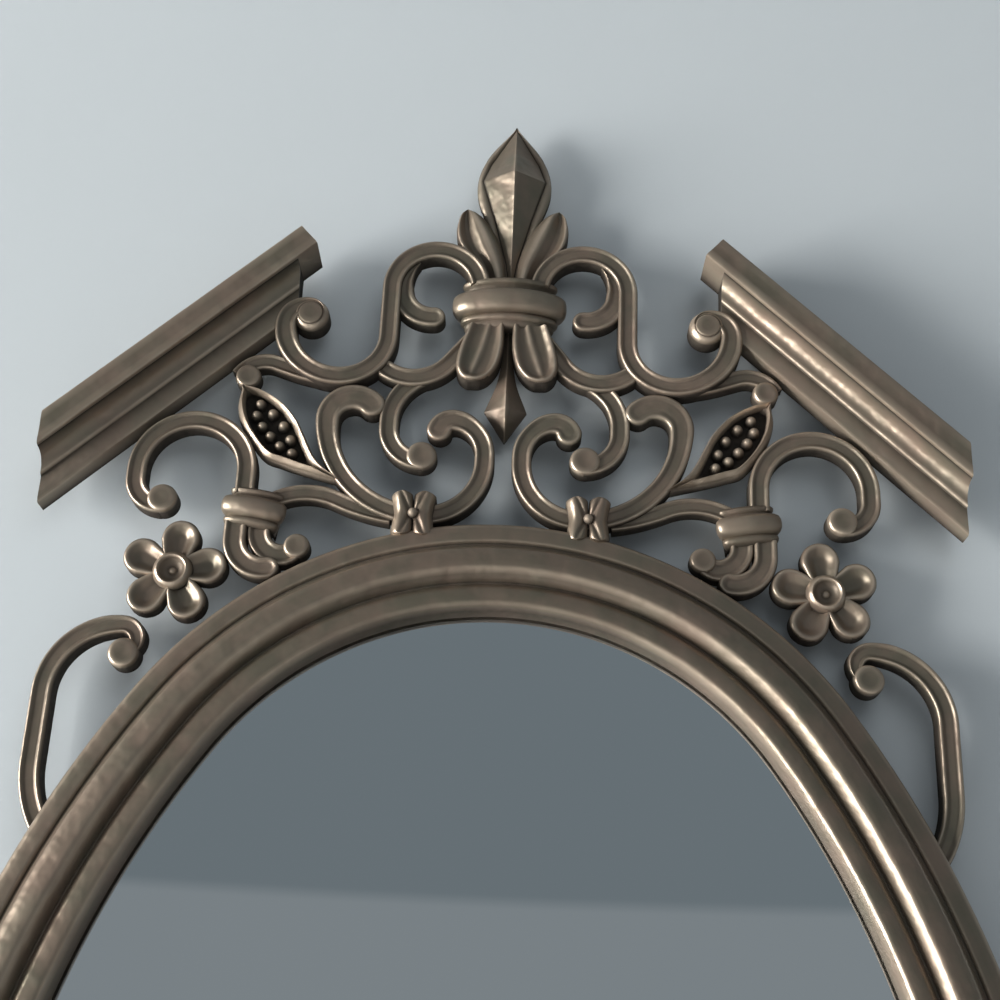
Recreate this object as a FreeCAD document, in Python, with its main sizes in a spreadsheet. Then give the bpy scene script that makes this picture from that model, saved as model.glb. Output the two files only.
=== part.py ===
# Gilded wall mirror: an oval moulded frame under a pierced crest with a fleur-de-lis and two raking cornices.
# Millimetres. The wall is the plane Y = 0, the front faces -Y and Z is up. The origin is the hang point,
# on the wall just under the tip of the pendant.
import FreeCAD, Part
import math
import os
import Sketcher
from FreeCAD import Placement, Rotation, Vector

sizes = {
    # oval frame: a four-centred oval, named from its sight edge outwards
    "sight_half_width": 146.0,
    "sight_half_height": 220.0,
    "top_arc_radius": 112.0,
    "frame_width": 31.5,
    "hang_height": 30.9,
    "frame_edge_height": 16.0,
    "band_width": 7.5,
    "band_height": 18.0,
    "torus_width": 13.5,
    "torus_height": 23.0,
    "groove_height": 17.0,
    "inner_torus_height": 21.0,
    "sight_wall_slope": 1.4,
    "sight_wall_top": 18.5,
    # glass, board and the turn buttons that hold them
    "glass_height": 11.0,
    "glass_thickness": 3.0,
    "board_thickness": 3.0,
    "rabbet": 7.0,
    "rabbet_clearance": 0.5,
    "ledge_width": 14.0,
    "button_arm": 12.0,
    "button_width": 8.0,
    "button_tail": 5.0,
    "button_thickness": 1.5,
    "button_clearance": 0.3,
    "button_reach": 6.0,
    "screw_radius": 1.5,
    "screw_head_radius": 3.2,
    "screw_head_height": 1.6,
    "screw_depth": 8.0,
    # raking cornices
    "cornice_pitch": 43.0,
    "cornice_peak": 80.0,
    "cornice_end": 77.0,
    "cornice_eave": 160.0,
    "cornice_width": 22.5,
    "cornice_depth": 24.0,
    "fascia_width": 9.6,
    "cove_width": 4.4,
    "cove_sag": 0.8,
    "frieze_depth": 14.0,
    "fillet_width": 1.2,
    "arris": 1.0,
    # scroll bars, on a drawing set out in modules
    "crest_module": 1.0,
    "crest_back": 6.0,
    "bar_width": 7.0,
    "arm_width": 6.2,
    "hook_width": 8.0,
    "bar_bevel": 2.1,
    "bar_bevel_height": 2.8,
    "bar_channel": 0.8,
    "crest_depth": 13.5,
    "heart_depth": 13.0,
    "curl_depth": 12.4,
    "arm_depth": 11.8,
    "foot_depth": 12.6,
    "eye_radius": 5.3,
    "eye_rise": 1.0,
    "ball_radius": 4.8,
    "lobe_radius": 6.0,
    "heart_tip_radius": 4.2,
    "blunt_radius": 3.6,
    # clasps: the collar under the finial and the bands on the shoulders
    "collar_half_width": 22.0,
    "collar_front": 19.0,
    "collar_plan_radius": 44.0,
    "collar_height": 9.2,
    "collar_bead": 2.6,
    "collar_neck": 2.9,
    "collar_top": 66.3,
    "collar_tilt": 0.0,
    "band_clasp_x": 85.4,
    "band_clasp_half_width": 13.2,
    "band_clasp_front": 16.5,
    "band_clasp_plan_radius": 24.0,
    "band_clasp_height": 7.5,
    "band_clasp_bead": 2.6,
    "band_clasp_neck": 0.6,
    "band_clasp_top": -20.0,
    "band_clasp_tilt": 8.0,
    # finial, plume and pendant
    "bud_half_width": 13.9,
    "bud_tip": 136.0,
    "bud_foot": 3.2,
    "ridge_width": 0.6,
    "bud_depth": 9.0,
    "bud_bevel": 4.0,
    "bud_shoulder": 11.5,
    "bud_ridge": 16.0,
    "bud_belly": 39.7,
    "collar_lap": 2.0,
    "leaf_depth": 11.0,
    "relief_bevel": 2.0,
    "tongue_depth": 14.6,
    "pendant_depth": 7.0,
    "pendant_ridge": 12.5,
    "pendant_half_width": 7.7,
    "pendant_tip": 3.0,
    "pendant_point": 12.0,
    "pendant_stem": 15.0,
    "pendant_neck": 1.1,
    # beaded leaves, bows and rosettes
    "pod_depth": 11.0,
    "pod_rim": 2.6,
    "pod_recess": 4.0,
    "pod_bead_radius": 1.8,
    "bow_x": 30.0,
    "bow_z": -27.5,
    "bow_half_width": 7.6,
    "bow_half_height": 7.0,
    "bow_pinch": 2.0,
    "bow_slit": 0.6,
    "bow_depth": 15.5,
    "bow_knot": 3.2,
    "bow_knot_rise": 1.2,
    "side_drop": 139.0,
    "side_lap": 3.0,
    "rosette_x": 110.8,
    "rosette_z": -50.5,
    "petal_radius": 6.6,
    "petal_spread": 12.0,
    "petal_depth": 12.0,
    "petal_dish": 4.6,
    "petal_dish_depth": 1.6,
    "rosette_hub": 8.0,
    "rosette_hub_depth": 9.0,
    "rosette_button": 6.9,
    "rosette_button_depth": 14.0,
}

doc = FreeCAD.newDocument("wall_mirror")
sheet = doc.addObject("Spreadsheet::Sheet", "Sizes")
for row, (alias, number) in enumerate(sizes.items(), 1):
    sheet.set(f"A{row}", alias)
    sheet.set(f"B{row}", str(number))
    sheet.setAlias(f"B{row}", alias)
doc.recompute()

nodes = {}                       # every sub-part that is written, by its name
front = Vector(0, -1, 0)
toFront = Rotation(Vector(1, 0, 0), 90)   # lays a drawing on the wall: x right, y up, normal to the front


def size(alias):
    return float(sheet.get(alias))


def bind(thing, **formulas):
    for name, formula in formulas.items():
        thing.setExpression(name, formula)


def node(thing, label):
    thing.Label = label
    nodes[label] = thing
    return thing


# drawing on the wall

def onWall(point, height=0.0):
    return Vector(point[0], -height, point[1])


def facing(x, y):
    # The rotation that takes a drawing's x and y axes to these two directions.
    return Rotation(x, y, x.cross(y), "ZXY")


def line(length):
    return (None, length)


def arc(radius, turn):
    return (radius, turn)


def drawn(point, origin=(0, 0)):
    # A point of the crest's drawing, which is set out in modules from an origin.
    return tuple(o + size("crest_module") * p for p, o in zip(point, origin))


def walk(start, heading, moves, origin):
    # A chain of tangent lines and arcs: each move goes on from the last one's end and direction.
    module = size("crest_module")
    x, z = drawn(start, origin)
    edges = []
    angle = math.radians(heading)
    for radius, amount in moves:
        if radius is None:
            amount = amount * module
            end = (x + amount * math.cos(angle), z + amount * math.sin(angle))
            edges.append(Part.LineSegment(Vector(x, z, 0), Vector(*end, 0)))
        else:
            reach = math.copysign(radius * module, amount)
            last = angle + math.radians(amount)
            centre = (x - reach * math.sin(angle), z + reach * math.cos(angle))

            def at(a):
                return Vector(centre[0] + reach * math.sin(a), centre[1] - reach * math.cos(a), 0)
            edges.append(Part.Arc(at(angle), at((angle + last) / 2), at(last)))
            end = (at(last).x, at(last).y)
            angle = last
        x, z = end
    return edges


def bend(first, middle, last):
    return Part.Arc(Vector(*first, 0), Vector(*middle, 0), Vector(*last, 0))


def straight(first, last):
    return Part.LineSegment(Vector(*first, 0), Vector(*last, 0))


def outline(start, steps, centre=(0, 0), scale=1.0, module=1.0):
    # A closed outline: each step is an end point, or a middle and an end. It can be drawn in to a centre.
    def at(point):
        return tuple(module * (c + scale * (p - c)) for p, c in zip(point, centre))
    edges = []
    here = start
    for step in steps + [(start,)]:
        points = [at(point) for point in (here, *step)]
        edges.append(bend(*points) if len(points) == 3 else straight(*points))
        here = step[-1]
    return edges


def bothSides(start, steps):
    # The steps of the right side up to the middle, then the same steps back down the left side.
    stops = [start] + [step[-1] for step in steps]
    back = [tuple((-x, z) for x, z in (*step[:-1], stop)) for step, stop in zip(steps, stops)]
    return steps + back[::-1]


def ovalEdges(offset):
    # Four tangent arcs about the sight edge, moved outwards by the offset.
    wide, high, small = size("sight_half_width"), size("sight_half_height"), size("top_arc_radius")
    large = (wide ** 2 + (high - small) ** 2 - small ** 2) / (2 * (wide - small))
    middle = ovalMiddle()
    meet = math.atan2(high - small, large - wide)
    edges = []
    for centre, radius, first, last in (
            ((0, middle + high - small), small, meet, math.pi - meet),
            ((large - wide, middle), large, math.pi - meet, math.pi + meet),
            ((0, middle - high + small), small, math.pi + meet, 2 * math.pi - meet),
            ((wide - large, middle), large, -meet, meet)):
        circle = Part.Circle(Vector(*centre, 0), Vector(0, 0, 1), radius + offset)
        edges.append(Part.ArcOfCircle(circle, first, last))
    return edges


def ovalMiddle():
    return -size("hang_height") - size("frame_width") - size("sight_half_height")


def flank(z):
    # How far out the frame's outer edge is at a height, where its large side arcs run.
    wide, high, small = size("sight_half_width"), size("sight_half_height"), size("top_arc_radius")
    large = (wide ** 2 + (high - small) ** 2 - small ** 2) / (2 * (wide - small))
    return wide - large + math.sqrt((large + size("frame_width")) ** 2 - (z - ovalMiddle()) ** 2)


def wallSketch(name, edges, height=0.0):
    sketch = doc.addObject("Sketcher::SketchObject", name)
    sketch.Placement = Placement(Vector(0, -height, 0), toFront)
    sketch.addGeometry(edges, False)
    return sketch


# bodies

def plane(body, role):
    return next(feature for feature in body.Origin.OriginFeatures if feature.Role == role)


def bodySketch(body, name, edges, role="XZ_Plane", offset=Vector(0, 0, 0)):
    sketch = body.newObject("Sketcher::SketchObject", name)
    sketch.AttachmentSupport = [(plane(body, role), "")]
    sketch.MapMode = "FlatFace"
    sketch.AttachmentOffset = Placement(offset, Rotation())
    sketch.addGeometry(edges, False)
    return sketch


def pad(body, name, sketch, length):
    feature = body.newObject("PartDesign::Pad", name)
    feature.Profile = sketch
    bind(feature, Length=length)
    doc.recompute()
    return feature


# scroll bars

def barSection(name, place, width, depth):
    # A flat back off the wall, upright sides, a bevel to each rim and a shallow channel, bound to the sheet.
    half, high, back = size(width) / 2, size(depth), size("crest_back")
    rim, drop, channel = half - size("bar_bevel"), size("bar_bevel_height"), size("bar_channel")
    corners = [(-half, back), (half, back), (half, high - drop), (rim, high), (0, high - channel),
               (-rim, high), (-half, high - drop)]
    sketch = doc.addObject("Sketcher::SketchObject", name)
    sketch.Placement = place
    sketch.addGeometry([straight(a, b) for a, b in zip(corners, corners[1:] + corners[:1])], False)
    for i in range(len(corners)):
        sketch.addConstraint(Sketcher.Constraint("Coincident", i, 2, (i + 1) % len(corners), 1))
    for rule in (("Vertical", 1), ("Vertical", 6), ("Symmetric", 0, 1, 0, 2, -2),
                 ("Symmetric", 2, 2, 4, 2, -2), ("PointOnObject", 3, 2, -2), ("Horizontal", 6, 1, 1, 2)):
        sketch.addConstraint(Sketcher.Constraint(*rule))
    for kind, corner, number, formula in (
            ("DistanceX", (0, 2), half, f"Sizes.{width} / 2"),
            ("DistanceY", (0, 2), back, "Sizes.crest_back"),
            ("DistanceY", (1, 2), high - drop, f"Sizes.{depth} - Sizes.bar_bevel_height"),
            ("DistanceX", (2, 2), rim, f"Sizes.{width} / 2 - Sizes.bar_bevel"),
            ("DistanceY", (2, 2), high, f"Sizes.{depth}"),
            ("DistanceY", (3, 2), high - channel, f"Sizes.{depth} - Sizes.bar_channel")):
        index = sketch.addConstraint(Sketcher.Constraint(kind, -1, 1, *corner, number))
        sketch.setExpression(f"Constraints[{index}]", formula)
    return sketch


def bar(name, start, heading, moves, width, depth, origin=(0, 0)):
    # One bar: its section carried along a chain of tangent lines and arcs on the wall.
    path = wallSketch(name + "_path", walk(start, heading, moves, origin))
    turn = math.radians(heading)
    place = Placement(onWall(drawn(start, origin)), facing(Vector(math.sin(turn), 0, -math.cos(turn)), front))
    section = barSection(name + "_section", place, width, depth)
    sweep = doc.addObject("Part::Sweep", name + "_bar")
    sweep.Sections = [section]
    doc.recompute()
    sweep.Spine = (path, [f"Edge{i + 1}" for i in range(len(moves))])
    sweep.Solid = True
    return sweep


def knob(name, centre, radius, depth, rise="0", origin=(0, 0)):
    # A round end: an upright drum and a bevelled top, standing a little proud of its bar.
    centre = drawn(centre, origin)
    drum = doc.addObject("Part::Cylinder", name + "_drum")
    drum.Placement = Placement(onWall(centre, size("crest_back")), toFront)
    bind(drum, Radius=f"Sizes.{radius}", Height=f"Sizes.{depth} - Sizes.bar_bevel_height - Sizes.crest_back")
    top = doc.addObject("Part::Cone", name + "_top")
    doc.recompute()
    top.Placement = Placement(onWall(centre, size(depth) - size("bar_bevel_height")), toFront)
    bind(top, Radius1=f"Sizes.{radius}", Radius2=f"Sizes.{radius} - Sizes.bar_bevel",
         Height=f"Sizes.bar_bevel_height + {rise}")
    return [drum, top]


def fuse(name, pieces):
    joined = doc.addObject("Part::MultiFuse", name)
    joined.Shapes = pieces
    joined.Refine = True
    return joined


def scribe(name, piece, neighbours):
    # Cuts the piece to the faces of the neighbours that it meets, one after the other.
    for index, neighbour in enumerate(neighbours, 1):
        cut = doc.addObject("Part::Cut", f"{name}_scribed_{index}")
        cut.Base = piece
        cut.Tool = neighbour
        piece = cut
    return piece


def pair(name, right):
    # The right-hand piece and its mirror image on the left.
    node(right, name + "_right")
    left = doc.addObject("Part::Mirroring", name + "_mirror")
    left.Source = right
    left.Normal = Vector(1, 0, 0)
    return node(left, name + "_left")


# oval frame with its rabbet, ledge and back rim

def frameProfile():
    width, band = size("frame_width"), size("band_width")
    torus = size("torus_width")
    outer = width - band
    inner = outer - torus
    glass = size("glass_height")
    ledge = glass - size("glass_thickness") - size("board_thickness")
    rim = size("rabbet") + size("ledge_width")
    groove = size("groove_height")
    wall = (size("sight_wall_slope"), size("sight_wall_top"))
    corners = [(wall), (0, glass), (size("rabbet"), glass), (size("rabbet"), ledge), (rim, ledge), (rim, 0),
               (width, 0), (width, size("frame_edge_height")), (outer, size("band_height")), (outer, groove)]
    edges = [straight(a, b) for a, b in zip(corners, corners[1:])]
    edges.append(bend((outer, groove), ((outer + inner) / 2, size("torus_height")), (inner, groove)))
    edges.append(bend((inner, groove), ((inner + wall[0]) / 2, size("inner_torus_height")), wall))
    return edges


def ovalFrame():
    body = doc.addObject("PartDesign::Body", "frame_body")
    path = bodySketch(body, "sight_oval", ovalEdges(0))
    bottom = ovalMiddle() - size("sight_half_height")
    section = body.newObject("Sketcher::SketchObject", "frame_section")
    section.AttachmentSupport = [(plane(body, "YZ_Plane"), "")]
    section.MapMode = "FlatFace"
    turn = Rotation(Vector(0, 0, 1), -90)       # section x runs downwards, out of the oval
    flip = Rotation(Vector(1, 0, 0), 180)       # section y runs to the front
    section.AttachmentOffset = Placement(Vector(0, bottom, 0), turn.multiply(flip))
    section.addGeometry(frameProfile(), False)
    pipe = body.newObject("PartDesign::AdditivePipe", "frame_moulding")
    pipe.Profile = section
    doc.recompute()
    pipe.Spine = (path, ["Edge3", "Edge4", "Edge1", "Edge2"])
    return body


def ovalPlate(name, offset, height, thickness):
    body = doc.addObject("PartDesign::Body", name)
    sketch = bodySketch(body, name + "_outline", ovalEdges(offset), offset=Vector(0, 0, height))
    pad(body, name + "_plate", sketch, thickness)
    return body


def turnButton(name, place):
    # A flat plate with round ends that turns on its screw: the arm reaches over the edge of the board.
    body = doc.addObject("PartDesign::Body", name)
    half = size("button_width") / 2
    arm, tail = size("button_arm") - half, size("button_tail") - half
    edges = [bend((arm, -half), (arm + half, 0), (arm, half)), straight((arm, half), (-tail, half)),
             bend((-tail, half), (-tail - half, 0), (-tail, -half)), straight((-tail, -half), (arm, -half))]
    sketch = bodySketch(body, name + "_outline", edges, "XY_Plane")
    plate = pad(body, name + "_plate", sketch, "Sizes.button_thickness")
    pivot = Part.Circle(Vector(0, 0, 0), Vector(0, 0, 1), pivotRadius())
    eye = bodySketch(body, name + "_eye", [pivot], "XY_Plane")
    index = eye.addConstraint(Sketcher.Constraint("Radius", 0, pivotRadius()))
    eye.setExpression(f"Constraints[{index}]", "Sizes.screw_radius + Sizes.button_clearance")
    hole = body.newObject("PartDesign::Pocket", name + "_hole")
    hole.Profile = eye
    hole.Type = "ThroughAll"
    hole.Reversed = True
    doc.recompute()
    if hole.Shape.Volume >= plate.Shape.Volume:
        raise ValueError(name + ": the pivot hole cuts nothing")
    body.Placement = place
    return body


def pivotRadius():
    return size("screw_radius") + size("button_clearance")


def screw(name, place):
    # Shank from the ledge down into the frame, and a head over the button.
    gap = size("button_clearance")
    shank = doc.addObject("Part::Cylinder", name + "_shank")
    shank.Placement = place.multiply(Placement(Vector(0, 0, -size("screw_depth")), Rotation()))
    bind(shank, Radius="Sizes.screw_radius",
         Height="Sizes.screw_depth + Sizes.button_thickness + 2 * Sizes.button_clearance")
    head = doc.addObject("Part::Cylinder", name + "_head")
    head.Placement = place.multiply(Placement(Vector(0, 0, size("button_thickness") + 2 * gap), Rotation()))
    bind(head, Radius="Sizes.screw_head_radius", Height="Sizes.screw_head_height")
    return fuse(name, [shank, head])


def buttonPlaces():
    # Six points of the ledge, square to the oval: the top and bottom, and the four shoulders.
    small, high = size("top_arc_radius"), size("sight_half_height")
    out = small + size("rabbet") + size("button_reach")
    ledge = size("glass_height") - size("glass_thickness") - size("board_thickness")
    names = ("right_upper", "top", "left_upper", "left_lower", "bottom", "right_lower")
    for name, angle in zip(names, (45, 90, 135, 225, 270, 315)):
        turn = math.radians(angle)
        centre = ovalMiddle() + math.copysign(high - small, math.sin(turn))
        point = Vector(out * math.cos(turn), -ledge, centre + out * math.sin(turn))
        inward = Vector(-math.cos(turn), 0, -math.sin(turn))
        yield name, Placement(point, facing(inward, inward.cross(front)))


# raking cornice

def corniceSlab(name, inner, edges, run):
    # One part of the section carried down the pitch, then cut plumb at the eave and at its inner end.
    pitch = math.radians(size("cornice_pitch"))
    deep, reach = size("cornice_depth"), size("cornice_eave") + size("cornice_depth")
    across = Vector(-math.sin(pitch), 0, -math.cos(pitch))
    start = Vector(reach, 0, size("cornice_peak") - (reach - size("cornice_end")) * math.tan(pitch))
    body = doc.addObject("PartDesign::Body", name + "_body")
    sketch = bodySketch(body, name + "_section", edges, "XY_Plane")
    pad(body, name + "_moulding", sketch, f"({run}) / cos(Sizes.cornice_pitch * 1deg)")
    body.Placement = Placement(start, facing(across, front))
    ends = doc.addObject("Part::Box", name + "_ends")
    tall = 3 * (reach - inner)
    ends.Placement = Placement(Vector(inner, -2 * deep, size("cornice_peak") - 2 * tall / 3), Rotation())
    ends.Length = size("cornice_eave") - inner
    ends.Width = 3 * deep
    ends.Height = tall
    whole = doc.addObject("Part::Common", name + "_plumb")
    whole.Base = body
    whole.Tool = ends
    return whole


def cornice():
    # A cap with a square end, on a cove, a fillet and a frieze whose end is plumb.
    wide, deep, arris = size("cornice_width"), size("cornice_depth"), size("arris")
    cap, frieze, fillet = size("fascia_width"), size("frieze_depth"), size("fillet_width")
    cove, back = cap + size("cove_width"), size("crest_back")
    upper = [(0, back), (0, deep - arris), (arris, deep), (cap - arris, deep), (cap, deep - arris),
             (cap, back), (0, back)]
    lower = [(cove, frieze + arris), (cove + fillet, frieze + arris), (cove + fillet, frieze),
             (wide - arris, frieze), (wide, frieze - arris), (wide, back), (cap, back), (cap, deep - arris)]
    hollow = (cove - size("cove_sag"), (deep + frieze) / 2 - size("cove_sag"))
    capEdges = [straight(a, b) for a, b in zip(upper, upper[1:])]
    lowEdges = [straight(a, b) for a, b in zip(lower, lower[1:])] + [bend(lower[-1], hollow, lower[0])]
    run = "Sizes.cornice_eave - Sizes.cornice_end + Sizes.cornice_depth"
    return fuse("cornice", [
        corniceSlab("cornice_cap", size("cornice_end") - deep, capEdges, run),
        corniceSlab("cornice_frieze", size("cornice_end"), lowEdges, run + " + Sizes.cornice_depth")])


# clasps

claspHollow = 0.35               # the hollow behind a clasp, as a share of its depth
claspRelief = 1.8                # how far a roll stands proud of its necks, in beads
claspBead = 0.77                 # the beads' width as a share of the roll's


def clasp(name, prefix, x):
    # A round-fronted clasp turned about an axis behind the wall: bead, neck, broad roll, bead and foot.
    top, tall = size(prefix + "_top"), size(prefix + "_height")
    bead, neck = size(prefix + "_bead"), size(prefix + "_neck")
    proud, plan = size(prefix + "_front"), size(prefix + "_plan_radius")
    half = size(prefix + "_half_width")
    back = plan - proud
    body = doc.addObject("PartDesign::Body", name)
    origin = Vector(back, top, x)

    def ring(label, corners, spread):
        radii = [(-back - deep, z) for deep, z in corners]
        edges = [straight(a, b) for a, b in zip(radii, radii[1:] + radii[:1])]
        sketch = bodySketch(body, name + label, edges, "YZ_Plane", origin)
        roll = body.newObject("PartDesign::Revolution", name + label + "_turn")
        roll.Profile = sketch
        roll.ReferenceAxis = (sketch, ["V_Axis"])
        roll.Midplane = True
        roll.Angle = 2 * math.degrees(math.asin(spread / plan))
        doc.recompute()
    inner, core = proud * claspHollow, proud - claspRelief * bead
    swell = (core + proud) / 2
    below = -bead - neck - tall
    foot = below - bead - neck
    step, lip = tall / 8, bead / 3
    ring("_torus", [(inner, below), (core, below), (swell, below + step), (proud, below + 3 * step),
                    (proud, below + 5 * step), (swell, below + 7 * step), (core, below + tall),
                    (inner, below + tall)], half)
    for label, low, deep in (("_neck", -bead - neck, core), ("_foot", foot, core - lip)):
        ring(label, [(inner, low), (deep, low), (deep, low + neck), (inner, low + neck)], claspBead * half)
    for label, low in (("_upper", -bead), ("_lower", below - bead)):
        ring(label, [(inner, low), (core, low), (core + lip, low + lip), (core + lip, low + 2 * lip),
                     (core, low + bead), (inner, low + bead)], claspBead * half)
    tilt = Rotation(front, size(prefix + "_tilt"))
    body.Placement = Placement(Vector(0, 0, 0), tilt, Vector(x, 0, top + foot / 2))
    return body


def claspBottom(prefix):
    rings = size(prefix + "_bead") + size(prefix + "_neck")
    return size(prefix + "_top") - 2 * rings - size(prefix + "_height")


# turned ornaments

def turned(body, name, profile, distance=0.0):
    # Turns a half section, given as height above the wall and radius, about an axis that points to the front.
    points = [(-height, radius) for height, radius in profile]
    edges = [straight(a, b) for a, b in zip(points, points[1:] + points[:1])]
    sketch = bodySketch(body, name + "_half", edges, "YZ_Plane", Vector(0, distance, 0))
    feature = body.newObject("PartDesign::Revolution", name)
    feature.Profile = sketch
    feature.ReferenceAxis = (sketch, ["H_Axis"])
    doc.recompute()
    return feature


def around(body, name, feature, copies):
    # Repeats a feature about the axis of its own body that points to the front.
    pattern = body.newObject("PartDesign::PolarPattern", name)
    pattern.Originals = [feature]
    pattern.Axis = (plane(body, "Y_Axis"), [""])
    pattern.Angle = 360
    pattern.Occurrences = copies
    body.Tip = pattern
    doc.recompute()
    return pattern


def domed(radius, depth, bevel):
    back = size("crest_back")
    return [(back, 0), (back, radius), (depth - 1.4 * bevel, radius),
            (depth - 0.4 * bevel, radius - 0.5 * bevel), (depth, radius - 1.6 * bevel), (depth, 0)]


def rosette():
    # Five cupped petals about a low hub.
    radius, depth, dish = size("petal_radius"), size("petal_depth"), size("petal_dish")
    floor, back = depth - size("petal_dish_depth"), size("crest_back")
    hubSize, hubDepth = size("rosette_hub"), size("rosette_hub_depth")
    cup = [(back, 0), (back, radius), (floor, radius), (depth, (radius + dish) / 2), (floor, dish / 2),
           (floor, 0)]
    body = doc.addObject("PartDesign::Body", "rosette")
    petal = turned(body, "rosette_petal", cup, size("petal_spread"))
    around(body, "rosette_petals", petal, 5)
    hub = turned(body, "rosette_hub", [(back, 0), (back, hubSize), (hubDepth, hubSize), (hubDepth, 0)])
    body.Tip = hub
    body.Placement = Placement(rosettePoint(), Rotation())
    return body


def rosettePoint():
    return Vector(size("rosette_x"), 0, size("rosette_z"))


def rosetteButton():
    # A ringed button that stands on the hub.
    radius, low, high = size("rosette_button"), size("rosette_hub_depth"), size("rosette_button_depth")
    body = doc.addObject("PartDesign::Body", "rosette_button")
    turned(body, "rosette_button_dome", [(low, 0), (low, radius), (high - 1.5, radius), (high, 0.75 * radius),
           (high - 1, 0.6 * radius), (high + 0.8, 0.3 * radius), (high + 0.8, 0)])
    body.Placement = Placement(rosettePoint(), Rotation())
    return body


# finial, plume and pendant

leafTop = 0.72                   # the front outline of a leaf or a tongue, as a share of the back one
podTop = 0.95                    # the same for a pod, whose rim stays broad


def raisedRidge(name, outlines):
    # An outline raised from the crest's back to the first height, then drawn in by heights to a ridge.
    body = doc.addObject("PartDesign::Body", name)
    sketches = [bodySketch(body, f"{name}_outline_{i}", edges, offset=Vector(0, 0, height))
                for i, (height, edges) in enumerate(outlines)]
    block = body.newObject("PartDesign::Pad", name + "_block")
    block.Profile = sketches[0]
    block.Length = outlines[0][0] - size("crest_back")
    block.Reversed = True
    doc.recompute()
    for i, (lower, upper) in enumerate(zip(sketches, sketches[1:])):
        loft = body.newObject("PartDesign::AdditiveLoft", f"{name}_slope_{i}")
        loft.Profile = lower
        loft.Sections = [upper]
        loft.Ruled = True
        doc.recompute()
    return body


def relief(name, start, steps, centre, depth, scale):
    # A flat-backed ornament whose outline is drawn in towards its centre at the front.
    low, module = size(depth) - size("relief_bevel"), size("crest_module")
    return raisedRidge(name, [(low, outline(start, steps, module=module)),
                              (size(depth), outline(start, steps, centre, scale, module))])


def budOutline(half, base, tip):
    foot = size("collar_top") - size("collar_lap")
    belly = size("collar_top") + size("bud_belly")
    side = [((0.5 * half + 0.4 * base, (foot + belly) / 2), (half, belly)),
            ((0.78 * half, (belly + tip) / 2), (0, tip))]
    return outline((base, foot), bothSides((base, foot), side))


def pendantOutline(half, stem, tip):
    top = claspBottom("collar") + size("collar_lap")
    waist, widest = top - size("pendant_stem"), size("pendant_tip") + size("pendant_point")
    side = [((1.3 * stem, waist),), ((half, widest),), ((0, tip),)]
    return outline((stem, top), bothSides((stem, top), side))


def bow(centre):
    # Two upright wraps, each pinched at its middle, about a knot that is tied over the heart scroll.
    wide, tall, slit = size("bow_half_width"), size("bow_half_height"), size("bow_slit")
    depth = size("bow_depth")

    def wrap(name, side):
        def at(x, z):
            return (centre[0] + side * x, centre[1] + z)
        middle, crown = (slit + wide) / 2, 1.12 * tall
        start = at(slit, -tall)
        steps = [(at(middle, -crown), at(wide, -tall)), (at(wide - size("bow_pinch"), 0), at(wide, tall)),
                 (at(middle, crown), at(slit, tall))]
        return raisedRidge(name, [(depth - size("relief_bevel"), outline(start, steps)),
                                  (depth, outline(start, steps, at(middle, 0), leafTop))])
    knot = doc.addObject("PartDesign::Body", "bow_knot")
    turned(knot, "bow_knot_dome", domed(size("bow_knot"), depth + size("bow_knot_rise"), 1.0))
    knot.Placement = Placement(onWall(centre), Rotation())
    return fuse("bow", [wrap("bow_outer", 1), wrap("bow_inner", -1), knot])


def pod():
    # A pointed leaf with a raised rim round a sunk field.
    edge = ((96, 20), [((92.8, 2.5), (84, -7.5)), ((71.5, -11.5), (57, -15.5)), ((66.4, -6.5), (71.5, 4)),
                       ((79.6, 14.4), (92, 20))])
    body = relief("pod", *edge, (80, 1), "pod_depth", podTop)
    field = doc.addObject("Part::Offset2D", "pod_field")
    field.Source = wallSketch("pod_edge", outline(*edge, module=size("crest_module")), size("pod_depth"))
    bind(field, Value="-Sizes.pod_rim")
    well = doc.addObject("Part::Extrusion", "pod_well")
    well.Base = field
    well.DirMode = "Custom"
    well.Dir = Vector(0, 1, 0)
    well.Solid = True
    bind(well, LengthFwd="Sizes.pod_recess")
    return scribe("pod", body, [well])


def podBeads():
    # Blunt seeds in two rows down the field, each on its floor.
    floor = size("pod_depth") - size("pod_recess")
    spots = [(87.2, 13.6), (88.2, 9.2), (85.8, 5.0), (82.6, 1.3), (79.0, -2.4), (74.4, -5.0), (82.4, 10.0),
             (78.2, 5.4), (75.4, 0.2)]
    beads = []
    for spot in spots:
        bead = doc.addObject("Part::Cone", f"pod_bead_{len(beads)}")
        bead.Placement = Placement(onWall(drawn(spot), floor), toFront)
        bind(bead, Radius1="Sizes.pod_bead_radius", Radius2="Sizes.pod_bead_radius / 2",
             Height="Sizes.pod_bead_radius")
        beads.append(bead)
    group = doc.addObject("Part::Compound", "pod_bead_group")
    group.Links = beads
    return group


# build

frame = ovalFrame()
doc.recompute()
places = dict(buttonPlaces())
screws = [screw("screw_" + name, place) for name, place in places.items()]
doc.recompute()
node(scribe("oval_frame", frame, [fuse("all_screws", screws)]), "oval_frame")
node(doc.getObject("all_screws"), "button_screws")
rabbetFit = size("rabbet") - size("rabbet_clearance")
glassBack = size("glass_height") - size("glass_thickness")
node(ovalPlate("glass", rabbetFit, glassBack, "Sizes.glass_thickness"), "mirror_glass")
boardBack = glassBack - size("board_thickness")
node(ovalPlate("board", rabbetFit, boardBack, "Sizes.board_thickness"), "backing_board")
for name, place in places.items():
    lifted = place.multiply(Placement(Vector(0, 0, size("button_clearance")), Rotation()))
    node(turnButton("button_" + name, lifted), "turn_button_" + name)

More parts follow.
